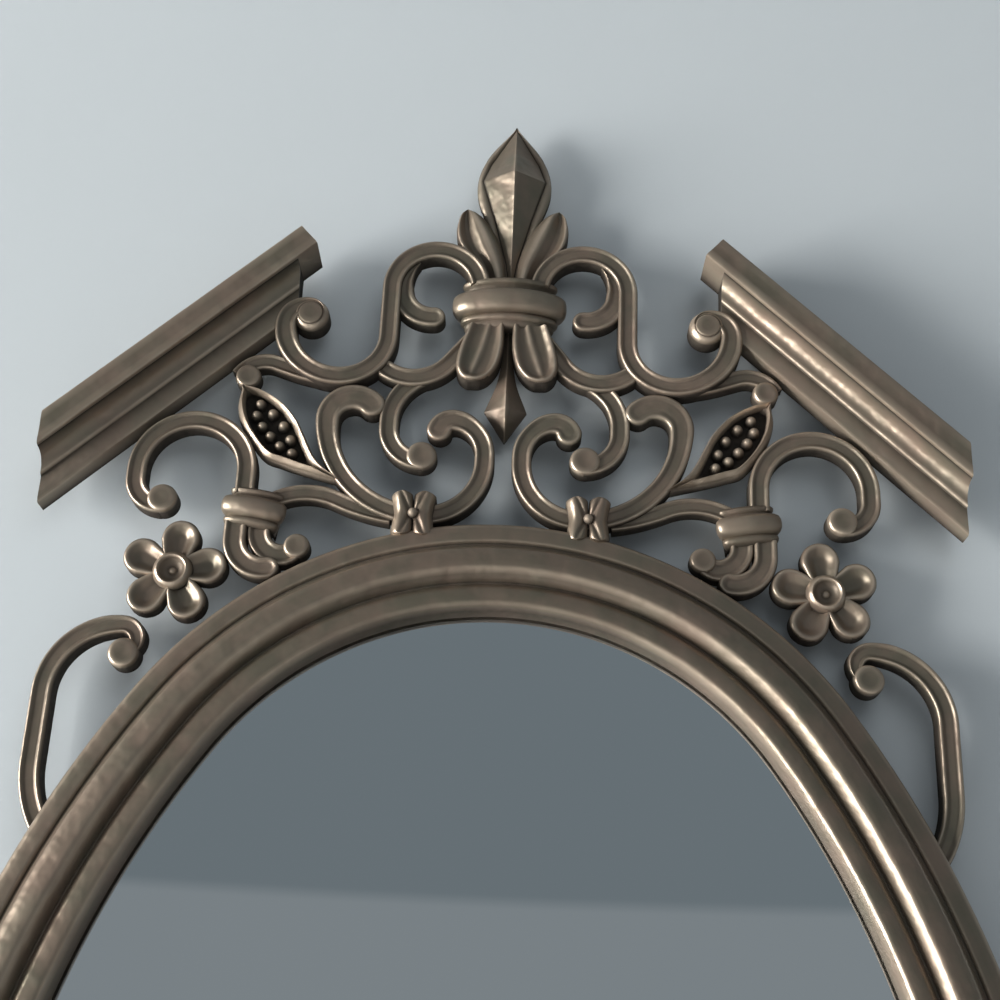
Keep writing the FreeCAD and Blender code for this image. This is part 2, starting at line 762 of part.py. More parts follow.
collar = node(clasp("collar", "collar", 0), "finial_collar")
band = clasp("band", "band_clasp", size("band_clasp_x"))
rakingCornice = cornice()
doc.recompute()

crest = fuse("crest", [
    bar("crest", (10.99, 64.85), 75, [line(1.4), arc(16.2, -165), line(20), arc(17.4, 90), arc(20, 90),
                                     arc(8.5, 90), arc(5, 120)], "bar_width", "crest_depth"),
    bar("hook", (38.1, 65.4), -70, [arc(11.3, -115)], "hook_width", "curl_depth")]
    + knob("volute_eye", (72.1, 48.8), "eye_radius", "crest_depth", "Sizes.eye_rise")
    + knob("hook_end", (26.5, 50.2), "blunt_radius", "curl_depth"))
crest = scribe("crest", crest, [collar])
rakingCornice = scribe("cornice", rakingCornice, [crest])

curlArm = fuse("curl_arm", [bar("curl_arm", (60, 24.4), 5, [arc(75, 14), line(5), arc(11, -80)],
                                "arm_width", "arm_depth")]
               + knob("curl_arm_ball", (92.5, 24), "ball_radius", "arm_depth", "Sizes.eye_rise"))
curlArm = scribe("curl_arm", curlArm, [crest, rakingCornice])

heart = fuse("heart", [bar("heart", (47.24, 14.36), 45, [arc(9, -135), arc(35.3, -90), arc(20.8, -90),
                                                         line(2.4), arc(14, -90), arc(5.2, -75)],
                           "bar_width", "heart_depth")]
             + knob("heart_lobe", (50.6, 14), "lobe_radius", "heart_depth")
             + knob("heart_tip", (24.3, 5), "heart_tip_radius", "heart_depth"))

margin, ridge = size("bud_bevel"), size("ridge_width")
bud = raisedRidge("bud", [
    (size("bud_depth"), budOutline(size("bud_half_width"), size("bud_foot"), size("bud_tip"))),
    (size("bud_shoulder"), budOutline(size("bud_half_width") - margin, size("bud_foot") - ridge,
                                      size("bud_tip") - margin)),
    (size("bud_ridge"), budOutline(ridge, ridge, size("bud_tip") - 2 * margin))])
bud = scribe("bud", bud, [collar])
leaf = relief("leaf", (1.6, 63.5), [((4.8, 83), (11.8, 95)), ((14.4, 97.6), (17.3, 98.2)),
                                    ((20.4, 93.8), (20.9, 87)), ((18.5, 77), (8.5, 63.5))],
              (14.5, 85), "leaf_depth", leafTop)
leaf = scribe("leaf", leaf, [collar, bud, crest])

tongue = relief("tongue", (1.5, 47.5), [((1.5, 38.5),), ((3, 31), (6.8, 25.9)), ((12, 23.9), (16.9, 26.3)),
                                        ((18.6, 31.5), (17.5, 37.4)), ((16.2, 42.6), (14.2, 47.5))],
                (9.5, 39), "tongue_depth", leafTop)
tongue = scribe("tongue", tongue, [collar])
tip = size("pendant_tip")
pendant = raisedRidge("pendant", [
    (size("pendant_depth"), pendantOutline(size("pendant_half_width"), size("pendant_neck"), tip)),
    (size("pendant_ridge"), pendantOutline(ridge, ridge / 2, tip + size("pendant_point") / 2))])
pendant = scribe("pendant", pendant, [collar])

curl = fuse("curl", [bar("curl_strand", (10.5, 44.9), -52, [line(16), arc(17, 52), arc(17, 35)],
                         "bar_width", "curl_depth"),
                     bar("curl_hook", (29.3, 26.5), -25, [arc(20, -65), line(2.5), arc(13.2, -90)],
                         "bar_width", "curl_depth")]
            + knob("curl_end", (43.5, 28.8), "blunt_radius", "curl_depth")
            + knob("curl_ball", (28, -4.3), "ball_radius", "curl_depth", "Sizes.eye_rise"))
curl = scribe("curl", curl, [collar, tongue, crest, heart])

footArm = bar("foot_arm", (38, -27.6), 8, [arc(70, 16), arc(25, -52)], "arm_width", "arm_depth")
footArm = scribe("foot_arm", footArm, [heart, band])
ribbonBow = scribe("bow", bow((size("bow_x"), size("bow_z"))), [heart, footArm, frame])

arch = fuse("arch", [bar("arch", (89.2, -21.3), 90, [line(8), arc(19.2, -180), line(3.5), arc(9.6, -90)],
                         "bar_width", "heart_depth")]
            + knob("arch_ball", (117.4, -24.5), "eye_radius", "heart_depth", "Sizes.eye_rise"))
arch = scribe("arch", arch, [band, rakingCornice])
seedPod = scribe("seed_pod", pod(), [curlArm, heart, arch])

foot = fuse("foot", [bar("foot_outer", (91, -32), -90, [line(6), arc(10.5, -100)],
                         "hook_width", "foot_depth"),
                     bar("foot_inner", (83, -32), -90, [line(3), arc(8.3, -90), arc(5, -60)],
                         "hook_width", "arm_depth")]
            + knob("foot_end", (79, -48), "blunt_radius", "foot_depth")
            + knob("foot_ball", (69.5, -40), "ball_radius", "arm_depth", "Sizes.eye_rise"))
foot = scribe("foot", foot, [band, frame])

button = rosetteButton()
flower = scribe("flower", rosette(), [button, foot, arch])

sideFoot = (flank(-size("side_drop")) - size("side_lap"), -size("side_drop"))
side = fuse("side", [bar("side", (0, 0), 55, [arc(38, 35), line(23), arc(24, 90), arc(5.4, 150)],
                         "bar_width", "heart_depth", sideFoot)]
            + knob("side_ball", (-18.4, 58.8), "eye_radius", "heart_depth", "Sizes.eye_rise", sideFoot))
side = scribe("side", side, [frame, flower])

node(bud, "finial_bud")
node(pendant, "pendant_drop")
for name, thing in (("cornice", rakingCornice), ("crest_scroll", crest), ("curl_arm", curlArm),
                    ("finial_leaf", leaf), ("plume_tongue", tongue), ("inner_curl", curl),
                    ("heart_scroll", heart), ("seed_pod", seedPod), ("seed_beads", podBeads()),
                    ("ribbon_bow", ribbonBow), ("foot_arm", footArm), ("shoulder_band", band),
                    ("arch_scroll", arch), ("shoulder_foot", foot), ("rosette", flower),
                    ("rosette_button", button), ("side_scroll", side)):
    pair(name, thing)
doc.recompute()

# every object is sound before anything is written

for thing in doc.Objects:
    if "Invalid" in thing.State or "Error" in thing.State:
        raise ValueError(f"{thing.Label}: {thing.getStatusString()}")
for label, thing in nodes.items():
    if thing.Shape.isNull() or not thing.Shape.isValid():
        raise ValueError(f"{label}: no sound shape")
os.makedirs("parts", exist_ok=True)
for label, thing in nodes.items():
    thing.Shape.exportStep(f"parts/{label}.step")
    print(label, len(thing.Shape.Solids), round(thing.Shape.Volume))
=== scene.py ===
import bmesh
import bpy
import math
import numpy as np
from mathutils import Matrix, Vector


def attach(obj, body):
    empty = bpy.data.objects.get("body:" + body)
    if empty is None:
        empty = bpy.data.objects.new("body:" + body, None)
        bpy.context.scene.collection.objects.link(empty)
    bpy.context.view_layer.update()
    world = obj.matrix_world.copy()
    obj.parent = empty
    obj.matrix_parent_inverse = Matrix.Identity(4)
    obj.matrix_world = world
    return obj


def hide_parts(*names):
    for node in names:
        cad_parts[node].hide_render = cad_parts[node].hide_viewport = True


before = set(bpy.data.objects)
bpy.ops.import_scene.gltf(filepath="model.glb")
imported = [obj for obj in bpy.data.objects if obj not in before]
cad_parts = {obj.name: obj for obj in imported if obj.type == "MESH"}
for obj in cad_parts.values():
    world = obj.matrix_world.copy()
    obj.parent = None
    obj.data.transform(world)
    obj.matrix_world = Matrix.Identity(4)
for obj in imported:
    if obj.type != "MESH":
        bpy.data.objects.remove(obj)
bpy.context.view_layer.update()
print("frame loaded:", len(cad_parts), "solids")

# all drawing is in millimetres on the wall: x to the right, z up, h out from the wall to the front
mm = 0.001
crestBack = 6.0                  # how far the back of the crest stands off the wall
thinnest = 0.01                  # half width left at the very tip of a round end
wholeTurn = 2 * math.pi
quarterTurn = math.pi / 2


# curves

def bell(x, middle, wide):
    # A smooth hump: 1 in the middle and nearly 0 two widths away.
    return np.exp(-((x - middle) / wide) ** 2)


def ramp(x, start, end):
    # An even climb from 0 at the start to 1 at the end, level past both.
    return np.clip((x - start) / (end - start), 0, 1)


def follow(x, pairs):
    # Straight lines from each pair of place and value to the next.
    return np.interp(x, *np.array(pairs, float).T)


def through(points, count):
    # A smooth curve through points: on each stretch, the cubic whose ends lean along the line between the
    # neighbouring points.
    p = np.array(points, float)
    p = np.concatenate([[2 * p[0] - p[1]], p, [2 * p[-1] - p[-2]]])
    t = np.linspace(0, len(points) - 1, count)
    i = np.minimum(t.astype(int), len(points) - 2)
    f = (t - i)[:, None]
    a, b, c, d = p[i], p[i + 1], p[i + 2], p[i + 3]
    square = (2 * a - 5 * b + 4 * c - d) * f ** 2
    cube = (3 * b - a - 3 * c + d) * f ** 3
    return 0.5 * (2 * b + (c - a) * f + square + cube)


def walk(start, heading, moves, step=0.9):
    # Points and headings along a chain of tangent lines (None, length) and arcs (radius, degrees).
    at, angle = np.array(start, float), math.radians(heading)
    spots, heads = [at[None]], [np.array([angle])]
    for radius, amount in moves:
        bend = 0.0 if radius is None else math.radians(amount)
        length = amount if radius is None else radius * abs(bend)
        t = np.linspace(0, 1, max(3, int(length / step)))[1:]
        head = angle + t * bend
        if radius is None:
            spot = at + t[:, None] * length * np.array([math.cos(angle), math.sin(angle)])
        else:
            reach = math.copysign(radius, amount)
            centre = at + reach * np.array([-math.sin(angle), math.cos(angle)])
            spot = centre + reach * np.stack([np.sin(head), -np.cos(head)], -1)
        spots.append(spot)
        heads.append(head)
        at, angle = spot[-1], head[-1]
    return np.concatenate(spots), np.concatenate(heads)


# surfaces, each with two marks per point: rubbed gilt together with painted highlight, and grime together
# with painted shade

def onWall(x, z, h):
    # To the axes of the frame, where y points into the wall.
    return np.stack(np.broadcast_arrays(x, -np.asarray(h, float), z), -1)


def skin(points, wornAndHighlight, hollow, ring=False):
    # A grid of stations, each a closed loop. Quads join neighbouring stations. A ring also joins its last
    # station to its first; otherwise each end is closed by its own loop.
    n, m = points.shape[:2]
    index = np.arange(n * m).reshape(n, m)
    here = index if ring else index[:-1]
    there = np.roll(index, -1, 0) if ring else index[1:]
    quads = np.stack([here, np.roll(here, -1, 1), np.roll(there, -1, 1), there], -1).reshape(-1, 4).tolist()
    ends = [] if ring else [index[0].tolist(), index[-1][::-1].tolist()]
    wornAndHighlight = np.broadcast_to(wornAndHighlight, (n, m)).reshape(-1)
    hollow = np.broadcast_to(hollow, (n, m)).reshape(-1)
    return points.reshape(-1, 3), quads + ends, wornAndHighlight, hollow


def relief(left, right, across, height, wornAndHighlight, hollow):
    # A flat-backed ornament. Each station runs straight from its left edge to its right edge: across gives
    # the share of the way, height how far out from the wall. Two points at the back close every station.
    n, m = height.shape
    across = np.broadcast_to(across, (n, m))[..., None]
    flat = left[:, None] * (1 - across) + right[:, None] * across
    front = onWall(flat[..., 0], flat[..., 1], height)
    foot = np.stack([onWall(edge[:, 0], edge[:, 1], crestBack) for edge in (right, left)], 1)
    # The two back points of every station get no rub and full darkening: painted shade on the sides.
    return skin(np.concatenate([front, foot], 1),
                np.concatenate([np.broadcast_to(wornAndHighlight, (n, m)), np.zeros((n, 2))], 1),
                np.concatenate([np.broadcast_to(hollow, (n, m)), np.ones((n, 2))], 1))


def turned(centre, reach, rows, sides=44):
    # Rows of radius share, height, wear and dirt turned about an axis that points to the front.
    share, height, wornAndHighlight, hollow = np.array(rows, float).T[..., None]
    turn = np.linspace(0, wholeTurn, sides, endpoint=False)
    x = centre[0] + reach * share * np.cos(turn)
    z = centre[1] + reach * share * np.sin(turn)
    return skin(onWall(x, z, height), wornAndHighlight, hollow)


def boss(centre, reach, high, rows, foot=crestBack):
    # A round end: an upright side from the foot, fully darkened as painted shade, and rows whose heights
    # are measured from the top.
    return turned(centre, reach, [(1, foot, 0, 1), *(np.array(rows, float) + [0, high, 0, 0])])


def dome(low, high, count, pole=0.03):
    # A half round: radius shares that nearly close at the pole, heights, and the sine of the way up.
    turn = np.linspace(0, quarterTurn, count)
    return pole + (1 - pole) * np.cos(turn), low + (high - low) * np.sin(turn), np.sin(turn)


# objects

meshRules = {"mergeWithin": 2e-6, "flatWithin": 1e-6, "sharp": 38}    # metres, metres and degrees


def makeMesh(name, skins, mirrored, sharp):
    # Joins the skins, merges points that fall together and turns every face outwards.
    sign = np.array([-1.0 if mirrored else 1.0, 1.0, 1.0])
    first = np.cumsum([0] + [len(s[0]) for s in skins])
    points = np.concatenate([s[0] for s in skins]) * sign * mm
    faces = [[i + start for i in face] for s, start in zip(skins, first) for face in s[1]]
    mesh = bpy.data.meshes.new(name)
    mesh.from_pydata(points.tolist(), [], faces)
    for label, column in (("wornAndHighlight", 2), ("hollow", 3)):
        values = np.concatenate([s[column] for s in skins]).astype(np.float32)
        mesh.attributes.new(label, "FLOAT", "POINT").data.foreach_set("value", values)
    work = bmesh.new()
    work.from_mesh(mesh)
    bmesh.ops.remove_doubles(work, verts=work.verts, dist=meshRules["mergeWithin"])
    bmesh.ops.dissolve_degenerate(work, edges=work.edges, dist=meshRules["flatWithin"])
    bmesh.ops.recalc_face_normals(work, faces=work.faces)
    work.to_mesh(mesh)
    work.free()
    mesh.shade_smooth()
    mesh.set_sharp_from_angle(angle=math.radians(sharp))
    return mesh


def piece(name, node, skins, material, mirrored=False, sharp=meshRules["sharp"]):
    # An object that stands in for one node of the part and goes with the frame.
    thing = bpy.data.objects.new(name, makeMesh(name, skins, mirrored, sharp))
    bpy.context.scene.collection.objects.link(thing)
    thing.data.materials.append(material)
    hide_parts(node)
    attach(thing, "mirror")
    return thing


def pair(name, node, skins, material, sharp=meshRules["sharp"]):
    # The right-hand piece as drawn, and the left-hand one as its mirror image.
    piece(name + "Right", node + "_right", skins, material, sharp=sharp)
    piece(name + "Left", node + "_left", skins, material, mirrored=True, sharp=sharp)


# finishes

def newMaterial(name):
    material = bpy.data.materials.new(name)
    material.use_nodes = True
    nodes, links = material.node_tree.nodes, material.node_tree.links
    shader = nodes["Principled BSDF"]
    place = nodes.new("ShaderNodeTexCoord")
    return material, nodes, links, shader, place.outputs["Object"]


def noise(nodes, links, place, scale, detail, roughness=0.5):
    cloud = nodes.new("ShaderNodeTexNoise")
    cloud.inputs["Scale"].default_value = scale
    cloud.inputs["Detail"].default_value = detail
    cloud.inputs["Roughness"].default_value = roughness
    links.new(place, cloud.inputs["Vector"])
    return cloud.outputs["Fac"]


def spread(nodes, links, value, low, high, toLow=0.0, toHigh=1.0):
    scale = nodes.new("ShaderNodeMapRange")
    scale.inputs["From Min"].default_value = low
    scale.inputs["From Max"].default_value = high
    scale.inputs["To Min"].default_value = toLow
    scale.inputs["To Max"].default_value = toHigh
    links.new(value, scale.inputs["Value"])
    return scale.outputs["Result"]


def combine(nodes, links, operation, a, b):
    result = nodes.new("ShaderNodeMath")
    result.operation = operation
    links.new(a, result.inputs[0])
    links.new(b, result.inputs[1])
    return result.outputs[0]


def blend(nodes, links, share, a, b):
    # Two colours, each a tuple or a link, mixed by a linked share.
    mix = nodes.new("ShaderNodeMix")
    mix.data_type = "RGBA"
    links.new(share, mix.inputs["Factor"])
    for name, colour in (("A", a), ("B", b)):
        socket = next(s for s in mix.inputs if s.name == name and s.type == "RGBA")
        if isinstance(colour, tuple):
            socket.default_value = (*colour, 1)
        else:
            links.new(colour, socket)
    return next(s for s in mix.outputs if s.type == "RGBA")


gildingLook = {                  # noises: scale, detail, roughness; ranges: from, to and what they become
    "brown": (0.255, 0.193, 0.148), "olive": (0.185, 0.162, 0.120),
    "patinaAndShade": (0.020, 0.018, 0.016), "goldAndHighlight": (0.60, 0.49, 0.38),
    "cloud": (55, 4, 0.6), "fine": (420, 3), "grain": (110, 2),
    "brownToOlive": (0.36, 0.64), "dirtAndShadeByFine": (0.3, 0.7, 0.92, 1.0),
    "rubAndHighlightByCloud": (0.3, 0.62, 0.35, 0.85),
    "roughness": (0, 1, 0.35, 0.8), "metallic": (0, 1, 0.65, 0.0), "specular": (0, 1, 0.5, 0.05),
    "grainStrength": 0.55, "grainDepth": 0.0014}


def agedGilding():
    # Mottled bronze darkened by antiquing and grime and by painted shade, with pale gilt where it is rubbed
    # and as painted highlight. The darkening also dulls it.
    look = gildingLook
    material, nodes, links, shader, place = newMaterial("agedGilding")
    cloud = noise(nodes, links, place, *look["cloud"])
    fine = noise(nodes, links, place, *look["fine"])
    mottle = spread(nodes, links, cloud, *look["brownToOlive"])
    ground = blend(nodes, links, mottle, look["brown"], look["olive"])
    marks = {}
    for label in ("wornAndHighlight", "hollow"):
        mark = nodes.new("ShaderNodeAttribute")
        mark.attribute_name = label
        marks[label] = mark.outputs["Fac"]
    patchy = spread(nodes, links, fine, *look["dirtAndShadeByFine"])
    # the dark mark: antiquing and grime together with painted shade on sides, in creases and under things
    dirtAndShadeMix = combine(nodes, links, "MULTIPLY", marks["hollow"], patchy)
    uneven = spread(nodes, links, cloud, *look["rubAndHighlightByCloud"])
    # the light mark: rubbed gilt together with painted highlight on rims and shoulders
    rubAndHighlight = combine(nodes, links, "MULTIPLY", marks["wornAndHighlight"], uneven)
    dulled = blend(nodes, links, dirtAndShadeMix, ground, look["patinaAndShade"])
    links.new(blend(nodes, links, rubAndHighlight, dulled, look["goldAndHighlight"]), shader.inputs["Base Color"])
    links.new(spread(nodes, links, dirtAndShadeMix, *look["roughness"]), shader.inputs["Roughness"])
    links.new(spread(nodes, links, dirtAndShadeMix, *look["metallic"]), shader.inputs["Metallic"])
    links.new(spread(nodes, links, dirtAndShadeMix, *look["specular"]), shader.inputs["Specular IOR Level"])
    bump = nodes.new("ShaderNodeBump")
    bump.inputs["Strength"].default_value = look["grainStrength"]
    bump.inputs["Distance"].default_value = look["grainDepth"]
    links.new(noise(nodes, links, place, *look["grain"]), bump.inputs["Height"])
    links.new(bump.outputs["Normal"], shader.inputs["Normal"])
    return material


silverLook = {"cloud": (9, 2), "mix": (0, 1), "dark": (0.86, 0.88, 0.89), "light": (0.89, 0.905, 0.91),
              "metallic": 1.0, "roughness": 0.02}
boardLook = {"cloud": (260, 6, 0.7), "mix": (0.3, 0.7), "dark": (0.15, 0.085, 0.045),
             "light": (0.24, 0.145, 0.08), "metallic": 0.0, "roughness": 0.8}
steelLook = {"cloud": (180, 3), "mix": (0, 1), "dark": (0.42, 0.42, 0.41), "light": (0.58, 0.58, 0.57),
             "metallic": 0.9, "roughness": (0.3, 0.7, 0.3, 0.5)}


def mottled(name, look):
    # Two colours mixed by a cloud of noise. Roughness is one value, or a range that the cloud sets.
    material, nodes, links, shader, place = newMaterial(name)
    cloud = noise(nodes, links, place, *look["cloud"])
    share = spread(nodes, links, cloud, *look["mix"])
    links.new(blend(nodes, links, share, look["dark"], look["light"]), shader.inputs["Base Color"])
    shader.inputs["Metallic"].default_value = look["metallic"]
    if isinstance(look["roughness"], tuple):
        links.new(spread(nodes, links, cloud, *look["roughness"]), shader.inputs["Roughness"])
    else:
        shader.inputs["Roughness"].default_value = look["roughness"]
    return material


gilding = agedGilding()
mirrorSilver = mottled("silvering", silverLook)
board = mottled("hardboard", boardLook)
buttonSteel = mottled("zincedSteel", steelLook)
for name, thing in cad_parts.items():
    ofSteel = "button_" in name and "rosette" not in name
    if ofSteel or name == "backing_board":
        thing.data.materials.clear()
        thing.data.materials.append(buttonSteel if ofSteel else board)
print("finishes ready")

# oval frame and glass

ovalShape = {"wide": 146.0, "high": 220.0, "topRadius": 112.0, "middle": -282.4, "steps": 288}


def oval(offset):
    # Four tangent arcs: the top and bottom about two centres on the axis, the flanks about two far centres.
    # Offsets move every arc outwards. Returned as stations of points for a row of offsets, with the sine of
    # each station's direction.
    wide, high, small = ovalShape["wide"], ovalShape["high"], ovalShape["topRadius"]
    large = (wide ** 2 + (high - small) ** 2 - small ** 2) / (2 * (wide - small))
    meet = math.atan2(high - small, large - wide)
    turn = np.linspace(0, wholeTurn, ovalShape["steps"], endpoint=False)
    aside, upwards = np.cos(turn)[:, None], np.sin(turn)[:, None]
    ends = np.abs(upwards) > math.sin(meet)
    x = np.where(ends, 0, np.sign(aside) * (wide - large))
    z = ovalShape["middle"] + np.where(ends, np.sign(upwards) * (high - small), 0)
    out = np.where(ends, small, large) + np.asarray(offset, float)[None]
    return x + out * aside, z + out * upwards, upwards


mouldingShape = {                # rows of offset from the sight edge and height off the wall
    "edge": [(31.42, 0), (31.42, 14.6), (31.2, 15.6), (30.5, 16.4)],
    "band": [(29.4, 16.9), (27.5, 17.1), (25.6, 17.3), (24.9, 17.2), (24.4, 16.7), (24.05, 16.2)],
    "broad": [(23.5, 16.3), (22.7, 17.6), (21.8, 19.3), (21.2, 20.2), (20.4, 20.8), (18.6, 21.3),
              (16.4, 21.8), (14.7, 22.1), (13.9, 22.0), (13.1, 21.4), (12.0, 20.0), (11.0, 18.2),
              (10.5, 17.1), (10.15, 16.5)],
    "narrow": [(9.5, 16.6), (8.9, 17.6), (8.1, 18.7), (7.4, 19.3), (6.6, 19.6), (4.8, 19.9), (2.9, 20.2),
               (2.0, 20.0), (1.5, 19.5)],
    "wall": [(1.2, 18.8), (0.5, 15), (-0.3, 11), (7, 11), (7, 5), (21, 5), (21, 0)]}
mouldingLook = {                 # rubbed gilt with painted highlights: offset, width, strength; darkened grooves, shaded slopes: offset, width
    "rubsAndHighlights": [(30.6, 0.8, 0.6), (24.9, 0.5, 0.4), (20.9, 0.6, 0.3), (12.8, 1.2, 0.8), (1.4, 0.6, 0.8)],
    "grooves": [(23.9, 0.45), (9.9, 0.45)], "slopes": [(12.2, 1.4), (1.0, 1.2)],
    "front": 15.0, "back": 10.0, "outside": 31.0, "inside": 1.0, "slopesFrom": 12.0,
    "wallShade": 0.7, "wallFade": (17.0, 11.0), "topFade": (0.75, 0.95), "topShade": 0.7, "topHighlightCut": 0.8}


def moulding():
    # The section of the frame, outside in: an edge, a flat band, a groove, a broad raised step with sloping
    # sides, a groove, a narrower step, the wall down to the glass, and the rebates of the back. At the top
    # of the oval the slopes that face the sight carry painted shade and lose their painted highlight.
    look = mouldingLook
    offset, height = np.concatenate(list(mouldingShape.values())).T
    x, z, upwards = oval(offset)
    front = height > look["front"]
    wornAndHighlight = sum(strength * bell(offset, at, wide) for at, wide, strength in look["rubsAndHighlights"]) * front
    grooves = sum(bell(offset, at, wide) for at, wide in look["grooves"]) * front
    # painted shade on the sight wall, deepening towards the glass
    wall = look["wallShade"] * ramp(height, *look["wallFade"]) * (offset < look["inside"])
    # the back and the outer side darken fully as painted shade
    unseen = (height < look["back"]) | ((offset > look["outside"]) & ~front)
    slopes = sum(bell(offset, at, wide) for at, wide in look["slopes"]) * (height > look["slopesFrom"])
    # painted shade at the top of the oval, which also takes away the painted highlights there
    top = ramp(upwards, *look["topFade"]) * slopes
    hollow = np.clip(np.clip(grooves + wall + unseen, 0, 1) + look["topShade"] * top, 0, 1)
    return skin(onWall(x, z, height[None]), wornAndHighlight * (1 - look["topHighlightCut"] * top), hollow, ring=True)


glassShape = {"edge": 6.5, "back": 8.02, "face": 9.4, "arris": 0.5}


def glass():
    # A thin plate: its outline at the back and at the front, drawn in a little at the front arris.
    s = glassShape
    x, z = oval([s["edge"], s["edge"], s["edge"] - s["arris"]])[:2]
    loops = onWall(x, z, np.array([[s["back"], s["face"] - s["arris"], s["face"]]])).transpose(1, 0, 2)
    return skin(loops, 0.0, 0.0)


piece("ovalFrame", "oval_frame", [moulding()], gilding, sharp=50)
piece("mirrorGlass", "mirror_glass", [glass()], mirrorSilver, sharp=20)
print("frame and glass made")

# raking cornices

corniceShape = {                 # rows are distance below an edge, height over a face, rub with painted highlight, dirt with painted shade
    "end": 77.0, "peak": 80.0, "eave": 160.0, "pitch": 43.0, "deep": 24.0, "frieze": 14.0, "cap": 9.6,
    "wide": 22.5, "steps": 60,
    "capTop": [(0, -1.2, 0.2, 0.2), (0.35, -0.35, 0.8, 0), (1.2, 0, 0.4, 0), (3.4, -0.25, 0, 0.25),
               (6.2, -0.25, 0, 0.25)],
    "capFoot": [(-1.1, 0, 0.4, 0), (-0.3, -0.35, 0.9, 0), (0, -1.2, 0.4, 0.2)],
    "tuck": [(-1, 0, 0, 1), (0, 0.5, 0, 1)],
    "coveWide": 4.3, "coveDeep": 7.2, "coveStart": (0.1, -1.6),
    "coveRubAndHighlight": [0, 0, 0, 0.1, 0.2, 0.2, 0.2, 0.2, 0.3], "coveShade": [1, 0.6, 0.3, 0.1, 0, 0, 0, 0, 0],
    "fillet": [(5.0, 1.2, 0.8, 0), (5.5, 0.9, 0.6, 0), (5.8, 0.1, 0, 0.8), (6.1, -0.2, 0, 0.7)],
    "friezeFoot": [(-1.2, 0, 0.2, 0), (-0.3, -0.5, 0.7, 0), (0, -1.4, 0.3, 0.2)]}


def rake(rows, plumb):
    # Rows of distance below the upper edge, height, wear and dirt, carried straight down the pitch. The
    # lower end is plumb at the eave; the upper end is plumb too, or square to the pitch.
    s = corniceShape
    pitch = math.radians(s["pitch"])
    below, height, wornAndHighlight, hollow = np.array(rows, float).T
    first = below * math.tan(pitch) if plumb else 0 * below
    last = (s["eave"] - s["end"] + below * math.sin(pitch)) / math.cos(pitch)
    run = first + np.linspace(0, 1, s["steps"])[:, None] * (last - first)
    x = s["end"] + run * math.cos(pitch) - below * math.sin(pitch)
    z = s["peak"] - run * math.sin(pitch) - below * math.cos(pitch)
    return skin(onWall(x, z, height[None]), wornAndHighlight[None], hollow[None])


def cornice():
    # Above, a cap with a shallow dish in its face. Below it a quarter-round cove, a fillet and a frieze.
    s = corniceShape
    deep, low, cap, wide = s["deep"], s["frieze"], s["cap"], s["wide"]

    def rows(part, edge, face):
        return np.array(s[part], float) + [edge, face, 0, 0]

    turn = np.linspace(0, quarterTurn, len(s["coveRubAndHighlight"]))
    below = cap + s["coveStart"][0] + s["coveWide"] * (1 - np.cos(turn))
    height = deep + s["coveStart"][1] - s["coveDeep"] * np.sin(turn)
    # the cove is darker under the cap as painted shade and lighter below as painted highlight
    cove = np.stack([below, height, s["coveRubAndHighlight"], s["coveShade"]], -1)
    tuck = rows("tuck", cap, low)
    # the backs and the tuck under the cap darken fully as painted shade
    upper = [(0, crestBack, 0, 0.6), *rows("capTop", 0, deep), *rows("capFoot", cap, deep),
             (cap, crestBack, 0, 1)]
    lower = [(tuck[0, 0], crestBack, 0, 1), *tuck, *cove, *rows("fillet", cap, low),
             *rows("friezeFoot", wide, low), (wide, crestBack, 0, 1)]
    return [rake(upper, False), rake(lower, True)]


pair("cornice", "cornice", cornice(), gilding, sharp=42)
print("cornices made")

# scrolls of the crest

barShape = {                     # shares of the half width, and depths
    "rim": 0.74, "flat": 0.40, "channel": 0.7, "drop": 1.5, "steepest": 0.985, "across": 41, "endSteps": 10,
    "channelFade": (1.55, 1.05),       # swell at which the channel is gone, and at which it is whole
    "rubAndHighlight": (0.80, 0.10), "rubAndHighlightStrength": 0.8, "floorDarkening": (0.40, 0.12), "floorStrength": 0.45,
    "edgeDarkening": (0.93, 1.0), "edgeStrength": 0.9}


def barTop(u, high, channel, rim=barShape["rim"], flat=barShape["flat"], drop=barShape["drop"]):
    # Across a bar: a round fall from each rim to the edge, an even slope from each rim inwards, eased at
    # both ends, and a flat floor between the slopes.
    slope = ramp(np.abs(u), rim, flat)
    fall = np.clip((np.abs(u) - rim) / (1 - rim), 0, barShape["steepest"])
    return high - channel * slope ** 2 * (3 - 2 * slope) - drop * (1 - np.sqrt(1 - fall ** 2))


def fromMiddle(past, u):
    # The share of the half width. Past the centre of a round end it is measured from that centre.
    return np.sqrt(past ** 2 + u ** 2 * (1 - past ** 2))


def roundEnd(rows, at):
    # Adds the stations of a half round to one end of a bar, the first (0) or the last (-1).
    spots, heads, half, channel, top = rows[:5]
    cap = np.sin(np.linspace(0, quarterTurn, barShape["endSteps"]))[1:]
    out = (1 if at else -1) * np.array([math.cos(heads[at]), math.sin(heads[at])])
    same = np.ones(len(cap))
    drawn = half[at] * np.sqrt(1 - np.minimum(cap, 1) ** 2) + thinnest
    more = (spots[at] + half[at] * cap[:, None] * out, same * heads[at], drawn, same * channel[at],
            same * top[at], cap)
    return [np.concatenate([a, b] if at else [b[::-1], a]) for a, b in zip(rows, more)]


